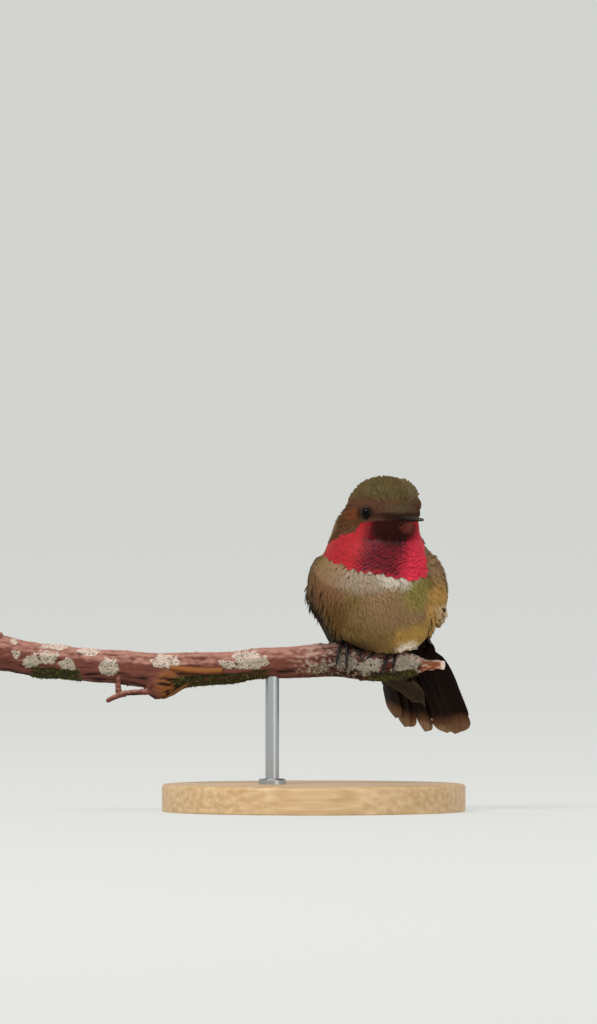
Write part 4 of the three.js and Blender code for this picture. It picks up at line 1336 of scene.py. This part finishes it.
# %% [markdown]
# ## The perch
# The branch is old and weathered: red-brown bark with fine cracks along the grain, pale crusts of
# lichen that spread in lobes, and moss where rain drips off below. Its short end is broken off and
# shows raw wood. Relief this small would be a bump map on a wall, but it breaks the outline here, so
# the surface itself is pushed in and out and painted by the same masks.

# %% Bark, lichen and moss
BARK_RED = linear("#6a3c31")
# The pale bark is painted light on the upper side. The dark bark is the bark's own, as at the sawn rim,
# and also painted shade in cracks and underneath.
BARK_PAINTED_LIGHT = linear("#b58475")
BARK_DARK_AND_SHADE = linear("#2f1b15")
LICHEN_WHITE = linear("#dcc6b8")
LICHEN_GREY = linear("#a89f8c")
PIT = linear("#3a2a20")
MOSS = linear("#282410")
MOSS_LIGHT = linear("#605c28")
RAW_WOOD = linear("#8f4e30")
RAW_PALE = linear("#ecd6c6")
SCAR = linear("#85522a")
WOOD_EARLY = linear("#cfa97f")
WOOD_LATE = linear("#9a6d45")
RING = 0.75  # mm from one growth ring to the next
BRANCH_VOXEL = 0.21 * MM
BRANCH_ROUNDS = 90  # smoothing rounds
CUT_END = np.array([-82.6, -0.8, -8.4]) * MM  # a small knob there keeps the sawn end full
KNOT = (-44.5, -18.5)  # mm from the belly's middle, across and up
BROKEN_FROM = 8.9  # mm along the branch, where the bark ends and raw wood starts
# Where lichen has settled on the front, in mm from the belly's middle: (x, z), half size, strength.
CRUSTS = [
    ((-79.1, -9.1), (0.9, 0.5), 1.0), ((-78.7, -11.7), (1.0, 0.8), 0.8),
    ((-75.0, -13.3), (1.9, 1.4), 0.9), ((-71.5, -12.4), (2.2, 1.5), 0.9),
    ((-69.8, -10.2), (2.8, 0.7), 1.0), ((-67.4, -14.1), (2.0, 1.4), 0.8),
    ((-63.0, -11.3), (2.2, 0.9), 1.2), ((-58.3, -14.6), (2.2, 1.7), 0.9),
    ((-46.1, -13.3), (3.0, 1.5), 1.0), ((-32.8, -13.9), (1.8, 1.0), 0.7),
    ((-27.8, -13.0), (3.8, 1.8), 1.1), ((-13.0, -14.8), (3.0, 1.5), 0.5),
    ((-7.0, -13.6), (3.2, 2.0), 0.55), ((-1.6, -14.8), (3.0, 2.0), 1.0),
    ((6.2, -13.9), (3.2, 2.2), 1.2),
]
# Where moss hangs underneath: (from, to, strength), in mm along the branch.
MOSSES = [(-76, -64, 1.0), (-46, -23, 0.9), (-17, -11, 0.5), (-3, 9, 1.0)]


def settled_moss(x):
    """How thickly moss may grow at each place along the branch."""
    total = 0 * x
    for start, end, strength in MOSSES:
        span = ease(x, start - 1.5, start + 2) * (1 - ease(x, end - 2, end + 1.5))
        total = np.maximum(total, strength * span)
    return total


def settled_lichen(x, z, warp):
    """1 on the crusts, fading at borders that warp makes lobed."""
    total = 0 * x
    for centre, radii, strength in CRUSTS:
        reach = np.hypot((x - centre[0]) / radii[0], (z - centre[1]) / radii[1])
        total = np.maximum(total, strength * ease(1.35 - reach + 0.5 * warp, 0, 0.75))
    return total


shells = [welded("perch_branch")[:2], ball(BELLY + CUT_END, 1.4 * MM)]
bark_points, bark_faces = remeshed(*joined(shells), BRANCH_VOXEL)
bark_points = smoothed(bark_points, bark_faces, BRANCH_ROUNDS)
bark_normals = normals_of(bark_points, bark_faces)
x, y, z = ((bark_points - BELLY) / MM).T
facing_front = ease(-bark_normals[:, 1], -0.25, 0.1)
swell = grain(bark_points, 7 * MM, 5.5)
warp = grain(bark_points, 1.3 * MM, 8.2) + 0.5 * grain(bark_points, 0.55 * MM, 1.7)
fuzz = grain(bark_points, 0.42 * MM, 9.9)
along_grain = np.array([6.0, 1, 1])
cracks = grain(bark_points / along_grain, 0.62 * MM, 2.2)
fibres = grain(bark_points / along_grain, 0.3 * MM, 4.4)
flakes = grain(bark_points / np.array([1.8, 1, 1]), 0.7 * MM, 6.6)
broken = ease(x + 0.5 * warp, BROKEN_FROM, BROKEN_FROM + 1)
behind = ease(swell + 0.5 * warp, 0.25, 0.7) * (1 - facing_front)
crust = np.maximum(settled_lichen(x, z, warp) * facing_front, behind)
crust = ease(crust + 0.16 * fuzz, 0.38, 0.62) * (1 - broken) * (x > x.min() + 1)
pits = crust * ease(fuzz + 0.7 * warp, 0.55, 0.85)
moss = settled_moss(x) * ease(-bark_normals[:, 2], 0.0, 0.75)
moss = ease(moss + 0.28 * warp + 0.15 * fuzz, 0.45, 0.8) * (1 - broken)
knot = 1 - ease(np.hypot((x - KNOT[0]) / 3.4, (z - KNOT[1]) / 3.2), 0.8, 1.5)

relief = 0.22 * swell + 0.1 * cracks + 0.035 * fibres + 0.06 * flakes - 0.16 * ease(-cracks, 0.3, 0.55)
relief = relief + crust * (0.1 + 0.07 * warp + 0.05 * fuzz) - 0.12 * pits
relief = relief + moss * (0.12 + 0.2 * fuzz) + 0.25 * knot * cracks + 0.12 * broken * (cracks + fibres)
relief = relief * (x > x.min() + 0.5)
bark_points = bark_points + bark_normals * (relief * MM)[:, None]

# The sawn end: pale wood in rings around the pith, with the bark as a dark rim.
end = x < x.min() + 0.9
reach = np.hypot(y - y[end].mean(), z - z[end].mean())
radius = reach[end].max()
rings = 0.5 + 0.5 * np.sin(2 * np.pi * (reach + 0.12 * warp) / RING)
sawn = layered(
    WOOD_EARLY, (WOOD_LATE, rings**3), (BARK_DARK_AND_SHADE, ease(reach, radius - 0.55, radius - 0.35)))
cut = ease(-bark_normals[:, 0], 0.6, 0.8) * (x < x.min() + 1.2)

# The broken end: raw wood, palest at its outer edge and on its upper side, where the pale is painted
# light, and darker in its cracks as painted shade.
pale_tip_and_lit_top = np.maximum(ease(x, 13.2, 14.0), 0.8 * ease(bark_normals[:, 2] + 0.3 * cracks, 0.6, 1.0))
wood = layered(
    RAW_WOOD, (RAW_PALE, np.maximum(pale_tip_and_lit_top, 0.5 * ease(fibres, 0.1, 0.5))),
    (BARK_DARK_AND_SHADE, 0.6 * ease(-cracks, 0.15, 0.5)))

# Bark with its knot: paler on its upper side as painted light, and darker in its cracks and underneath
# as painted shade. On it the bird's painted shadow, lichen and moss.
lit = ease(0.9 * bark_normals[:, 2] + 0.45 * flakes + 0.35 * cracks, 0.0, 1.0)
tone = layered(
    BARK_RED, (BARK_PAINTED_LIGHT, 0.9 * lit),
    (BARK_DARK_AND_SHADE, ease(-cracks - 0.55 * bark_normals[:, 2], 0.15, 0.95)),
    (mix(SCAR, BARK_DARK_AND_SHADE, ease(-cracks, 0.0, 0.4)), 0.85 * knot))
shaded = ease(x + warp, -15, -10) * (1 - 0.7 * ease(x + warp, -5, -1))
# Lichen, grey and white, whiter on its upper side as painted light and darker under the bird as its
# painted shadow.
pale = mix(LICHEN_GREY, LICHEN_WHITE, ease(0.5 * warp + 0.8 * bark_normals[:, 2], -0.1, 0.8))
crust_tone = pale * (1 - 0.3 * shaded)[:, None]
smudge = ease(fuzz + flakes, 0.1, 0.5) * ease(x, -21, -15) * (1 - ease(x, -5, -2)) * (1 - crust)
tone = layered(
    tone * (1 - 0.55 * shaded * (1 - broken))[:, None],
    (mix(crust_tone, PIT, pits), 0.9 * crust),
    (LICHEN_GREY, 0.55 * smudge),
    (mix(MOSS, MOSS_LIGHT, ease(fuzz + 0.5 * warp, -0.1, 0.9)), moss),
    (wood, broken),
    (sawn, cut))

# Dry bark and lichen: rough, matte and dusty, with no sheen at all.
bark = new_finish("bark_weathered_lichen", {"Roughness": 0.92, "Specular IOR Level": 0.2}, painted)
perch = mesh_piece("perch_bark", bark_points, bark_faces, bark, tone)
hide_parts("perch_branch")
print("Branch:", len(bark_faces), "triangles")


# %% Grains of lichen, leaves of moss and dead twigs on the bark
def spread_on(mask, count, least):
    """Which bark points carry something, picked by the mask and kept apart by at least least."""
    chances = mask / mask.sum()
    picked = rng.choice(len(mask), min(count, int((mask > 0).sum())), p=chances, replace=False)
    kept = []
    for i in picked:
        if all(np.linalg.norm(bark_points[i] - bark_points[j]) > least for j in kept[-60:]):
            kept.append(i)
    return np.array(kept)


def crumb(i):
    """A low round grain of lichen. About one in ten is a dark fruiting disc."""
    normal = bark_normals[i]
    side = unit(np.cross(normal, rng.normal(size=3)))
    other = np.cross(normal, side)
    radius = rng.uniform(0.09, 0.24) * MM * (1 + 0.15 * rng.normal(size=8)).clip(0.7, 1.3)
    rings = []
    for share, high in ((0.3, -0.06), (1.0, -0.02), (0.9, 0.4), (0.4, 0.6)):
        reach = (radius * share)[:, None]
        rings.append(bark_points[i] + normal * high * radius.mean() + reach * around(side, other, 8))
    points, triangles = capped(np.array(rings))
    disc = rng.random() < 0.1
    # Each grain takes the crust's colour, with its painted light and shadow.
    colour = mix(crust_tone[i], PIT, 0.6 * disc) * rng.uniform(0.85, 1.1)
    return points, triangles, np.tile(colour, (len(points), 1))


def spike(base, way, length, radius, colour, bend=0.3, sides=5, rows=5):
    """A thin curved cone, as a moss leaf or a splinter."""
    u = np.linspace(0, 1, rows)[:, None]
    droop = unit(np.cross(way, rng.normal(size=3))) * bend
    line = base + length * (u * way + u**2 * droop * 0.5)
    side = unit(np.cross(way, droop))
    other = np.cross(way, side)
    rings = line[:, None] + around(side, other, sides) * (radius * (1 - 0.9 * u**1.5))[..., None]
    points, triangles = capped(rings)
    return points, triangles, np.tile(colour, (len(points), 1))


def twig(path, radii, colour, rows=40, sides=12):
    """A short dead stem along a bent line, rough along its grain."""
    line = resampled(BELLY + np.array(path) * MM, rows)
    radius = resampled(np.array(radii) * MM, rows)
    ways = unit(np.gradient(line, axis=0))
    side = unit(np.cross(ways, UP))
    top = np.cross(side, ways)
    rough = 1 + 0.12 * rng.normal(size=(1, sides)) + 0.05 * rng.normal(size=(rows, sides))
    rings = line[:, None] + (radius[:, None] * rough)[..., None] * around(side, top, sides)
    points, triangles = capped(rings)
    shade = np.concatenate([np.tile(rough.mean(0), rows), [0.6, 0.6]])
    return points, triangles, colour * np.clip(shade, 0.6, 1.3)[:, None]


crumb_roots = spread_on(crust * (1 - pits) * (1 - moss), 2200, 0.2 * MM)
moss_roots = spread_on(moss**2, 1200, 0.15 * MM)
grains = [crumb(i) for i in crumb_roots]
grown = []
for i in moss_roots:
    way = unit(bark_normals[i] + 0.5 * rng.normal(size=3))
    colour = mix(MOSS, MOSS_LIGHT, rng.uniform(0, 1))
    grown.append(spike(bark_points[i], way, rng.uniform(0.15, 0.4) * MM, 0.06 * MM, colour))
grown.append(twig([(-45.2, -3.5, -14.6), (-41, -3.9, -15.2), (-37, -3.9, -15.4), (-33.8, -4.0, -15.2)],
                  [0.45, 0.62, 0.6, 0.55], SCAR))
grown.append(twig([(-46.8, -1.6, -21.4), (-44.6, -2.2, -20.4), (-41.4, -2.4, -18.3)],
                  [0.2, 0.34, 0.4], mix(MOSS, SCAR, 0.5)))
for name, parts in (("perch_lichen", grains), ("perch_moss_and_twigs", grown)):
    points, triangles, tint = joined(parts)
    piece = mesh_piece(name, points, triangles, bark, tint)
    print(name, len(triangles), "triangles")
print("Lichen grains:", len(crumb_roots), "moss leaves:", len(moss_roots))

# %% [markdown]
# ## The stand
# The stand is plain, so that it doesn't compete with the bird: a turned beech disc with a softened
# edge, and one steel rod in a small collar. Both are bodies of revolution, which a profile and a
# loop make directly.

# %% Turned base and rod
base_low, base_high = (np.array(v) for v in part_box("stand_base"))
rod_low, rod_high = (np.array(v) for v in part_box("stand_rod"))
BASE_EDGE = 0.8 * MM  # radius of the base's softened upper edge
ROD_COLLAR = 3.0 * MM  # radius of the collar at the rod's foot
ROD_SUNK = 0.8 * MM  # how far the rod goes into the branch past its CAD end


def turned(centre, profile, sides):
    """A closed body of revolution. profile holds (radius, height) from bottom to top, in metres."""
    circle = around(X, Y, sides)
    rings = [centre * [1, 1, 0] + circle * r + UP * z for r, z in profile]
    return capped(np.array(rings))


def softened(radius, low, high, edge, steps=8):
    """A disc's profile with rounded edges at the bottom and the top."""
    turn = np.linspace(0, np.pi / 2, steps)
    foot = [(radius - edge / 2 * (1 - np.sin(a)), low + edge / 2 * (1 - np.cos(a))) for a in turn]
    rim = [(radius - edge * (1 - np.cos(a)), high - edge * (1 - np.sin(a))) for a in turn]
    return [(0.2 * MM, low), *foot, *rim, (0.2 * MM, high)]


def wood_grain(tree):
    """Growth lines about 1.1 mm apart across the disc, with fine short pores."""
    spot = add_node(tree, "ShaderNodeTexCoord").outputs["Object"]
    lie = add_node(tree, "ShaderNodeMapping", {"Vector": spot, "Scale": (12.0, 400.0, 400.0)})
    wave = add_node(
        tree, "ShaderNodeTexNoise", {"Vector": lie.outputs["Vector"], "Scale": 2.2, "Detail": 5.0})
    tone = add_node(tree, "ShaderNodeValToRGB", {"Fac": wave.outputs["Fac"]})
    for i, (place, colour) in enumerate(((0.35, "#c09a6c"), (0.68, "#dab98c"))):
        tone.color_ramp.elements[i].position = place
        tone.color_ramp.elements[i].color = rgba(colour)
    return {"Base Color": tone.outputs["Color"], **bumped(tree, wave.outputs["Fac"], 0.15, 0.2 * MM)}


def brushing(tree):
    """Fine lathe marks around the rod, one each 0.3 mm, drawn coarser than real ones."""
    spot = add_node(tree, "ShaderNodeTexCoord").outputs["Object"]
    lie = add_node(tree, "ShaderNodeMapping", {"Vector": spot, "Scale": (40.0, 40.0, 3300.0)})
    marks = add_node(tree, "ShaderNodeTexNoise", {"Vector": lie.outputs["Vector"], "Scale": 1.0})
    return bumped(tree, marks.outputs["Fac"], 0.2, 0.05 * MM)


# Beech, turned and rubbed with oil: warm, with a low satin shine.
beech = new_finish("beech_turned_oiled", {"Roughness": 0.45}, wood_grain)
# Steel rod, brushed on a lathe: grey metal with soft streaks of light.
steel = new_finish("steel_brushed", {"Base Color": rgba("#b4b8bb"), "Metallic": 1.0, "Roughness": 0.32},
                   brushing)
base_centre = (base_low + base_high) / 2
base_profile = softened((base_high - base_low)[0] / 2, base_low[2], base_high[2], BASE_EDGE)
base = mesh_piece("stand_base_disc", *turned(base_centre, base_profile, 160), beech)
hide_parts("stand_base")
rod_centre = (rod_low + rod_high) / 2
rod_radius = (rod_high - rod_low)[0] / 2
foot = base_high[2]
head_end = rod_high[2] + ROD_SUNK
rod_profile = [(0.1 * MM, foot - MM), (ROD_COLLAR, foot - MM), (ROD_COLLAR, foot + 0.9 * MM),
               (ROD_COLLAR - 0.25 * MM, foot + 1.2 * MM), (rod_radius, foot + 1.3 * MM),
               (rod_radius, head_end), (0.1 * MM, head_end)]
rod = mesh_piece("stand_rod_round", *turned(rod_centre, rod_profile, 64), steel)
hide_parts("stand_rod")
for obj in (base, rod):
    obj.modifiers.new("Edges", "EDGE_SPLIT").split_angle = math.radians(35)
print("Stand: base", round(1000 * float((base_high - base_low)[0])), "mm across")

# %% [markdown]
# ## Studio
# The model stands in a round tent of pale cloth that is lit from outside, so the cloth glows a little
# by itself. With one soft light from the upper left, a weak one overhead and a fill from the front
# right, the shadows stay as faint as under an overcast sky.

# %% Backdrop, lights and camera
TENT_RADIUS = 5.6
TENT_CURVE = 1.2  # radius of the bend between floor and wall
TENT_HEIGHT = 3.0
TENT_SIDES = 128
LOOK_AT = np.array([-3.3, 0.0, 65.1]) * MM
CAMERA_AWAY = 2.4
VIEW_HEIGHT = 222.6 * MM  # what the picture's long side covers at the bird


def tent():
    """A round floor that curves up into a wall, so that every side has the same backdrop."""
    bend = np.linspace(0, math.pi / 2, 25)
    reach = np.concatenate([[0.01], TENT_RADIUS - TENT_CURVE * (1 - np.sin(bend)), [TENT_RADIUS]])
    height = np.concatenate([[0], TENT_CURVE * (1 - np.cos(bend)), [TENT_HEIGHT]])
    rings = [around(X, Y, TENT_SIDES) * r + UP * h for r, h in zip(reach, height)]
    return np.concatenate(rings), grid_faces(len(rings), TENT_SIDES)


cloth = new_finish(
    "tent_cloth_backlit",
    {"Base Color": rgba("#7a7a77"), "Roughness": 0.95, "Emission Color": rgba("#f2f4f0"),
     "Emission Strength": 0.58},
)
cloth.cycles.emission_sampling = "NONE"
points, triangles = tent()
sweep = bpy.data.meshes.new("backdrop")
sweep.from_pydata(points.tolist(), [], triangles.tolist())
sweep.shade_smooth()
sweep.materials.append(cloth)
backdrop = placed("backdrop", sweep)
backdrop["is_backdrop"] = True


def soft_light(name, place, size, power):
    """A round area light that looks at the bird. size is in metres and power in watts."""
    lamp = bpy.data.lights.new(name, "AREA")
    lamp.shape = "DISK"
    lamp.size = size
    lamp.energy = power
    obj = placed(name, lamp)
    obj.location = place
    aim = Vector(LOOK_AT) - obj.location
    obj.rotation_euler = aim.to_track_quat("-Z", "Y").to_euler()


soft_light("key", (-0.6, -0.8, 1.1), 0.5, 12.0)
soft_light("overhead", (0.1, -0.1, 1.9), 1.4, 3.0)
soft_light("fill", (1.1, -1.4, 0.5), 1.2, 5.5)

world = bpy.data.worlds.new("sky")
world.use_nodes = True
world.node_tree.nodes["Background"].inputs["Color"].default_value = rgba("#e8e8e6")
world.node_tree.nodes["Background"].inputs["Strength"].default_value = 0.62
bpy.context.scene.world = world
bpy.context.scene.view_settings.view_transform = "Standard"

lens = bpy.data.cameras.new("camera")
lens.lens = lens.sensor_width * CAMERA_AWAY / VIEW_HEIGHT
lens.clip_end = 20
camera = placed("camera", lens)
camera.location = LOOK_AT - CAMERA_AWAY * Y
camera.rotation_euler = (math.pi / 2, 0, 0)
bpy.context.scene.camera = camera
print("Lens", round(lens.lens), "mm at", CAMERA_AWAY, "m")

low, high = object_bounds()
print("Model box in mm:", [round(1000 * (b - a), 1) for a, b in zip(low, high)])
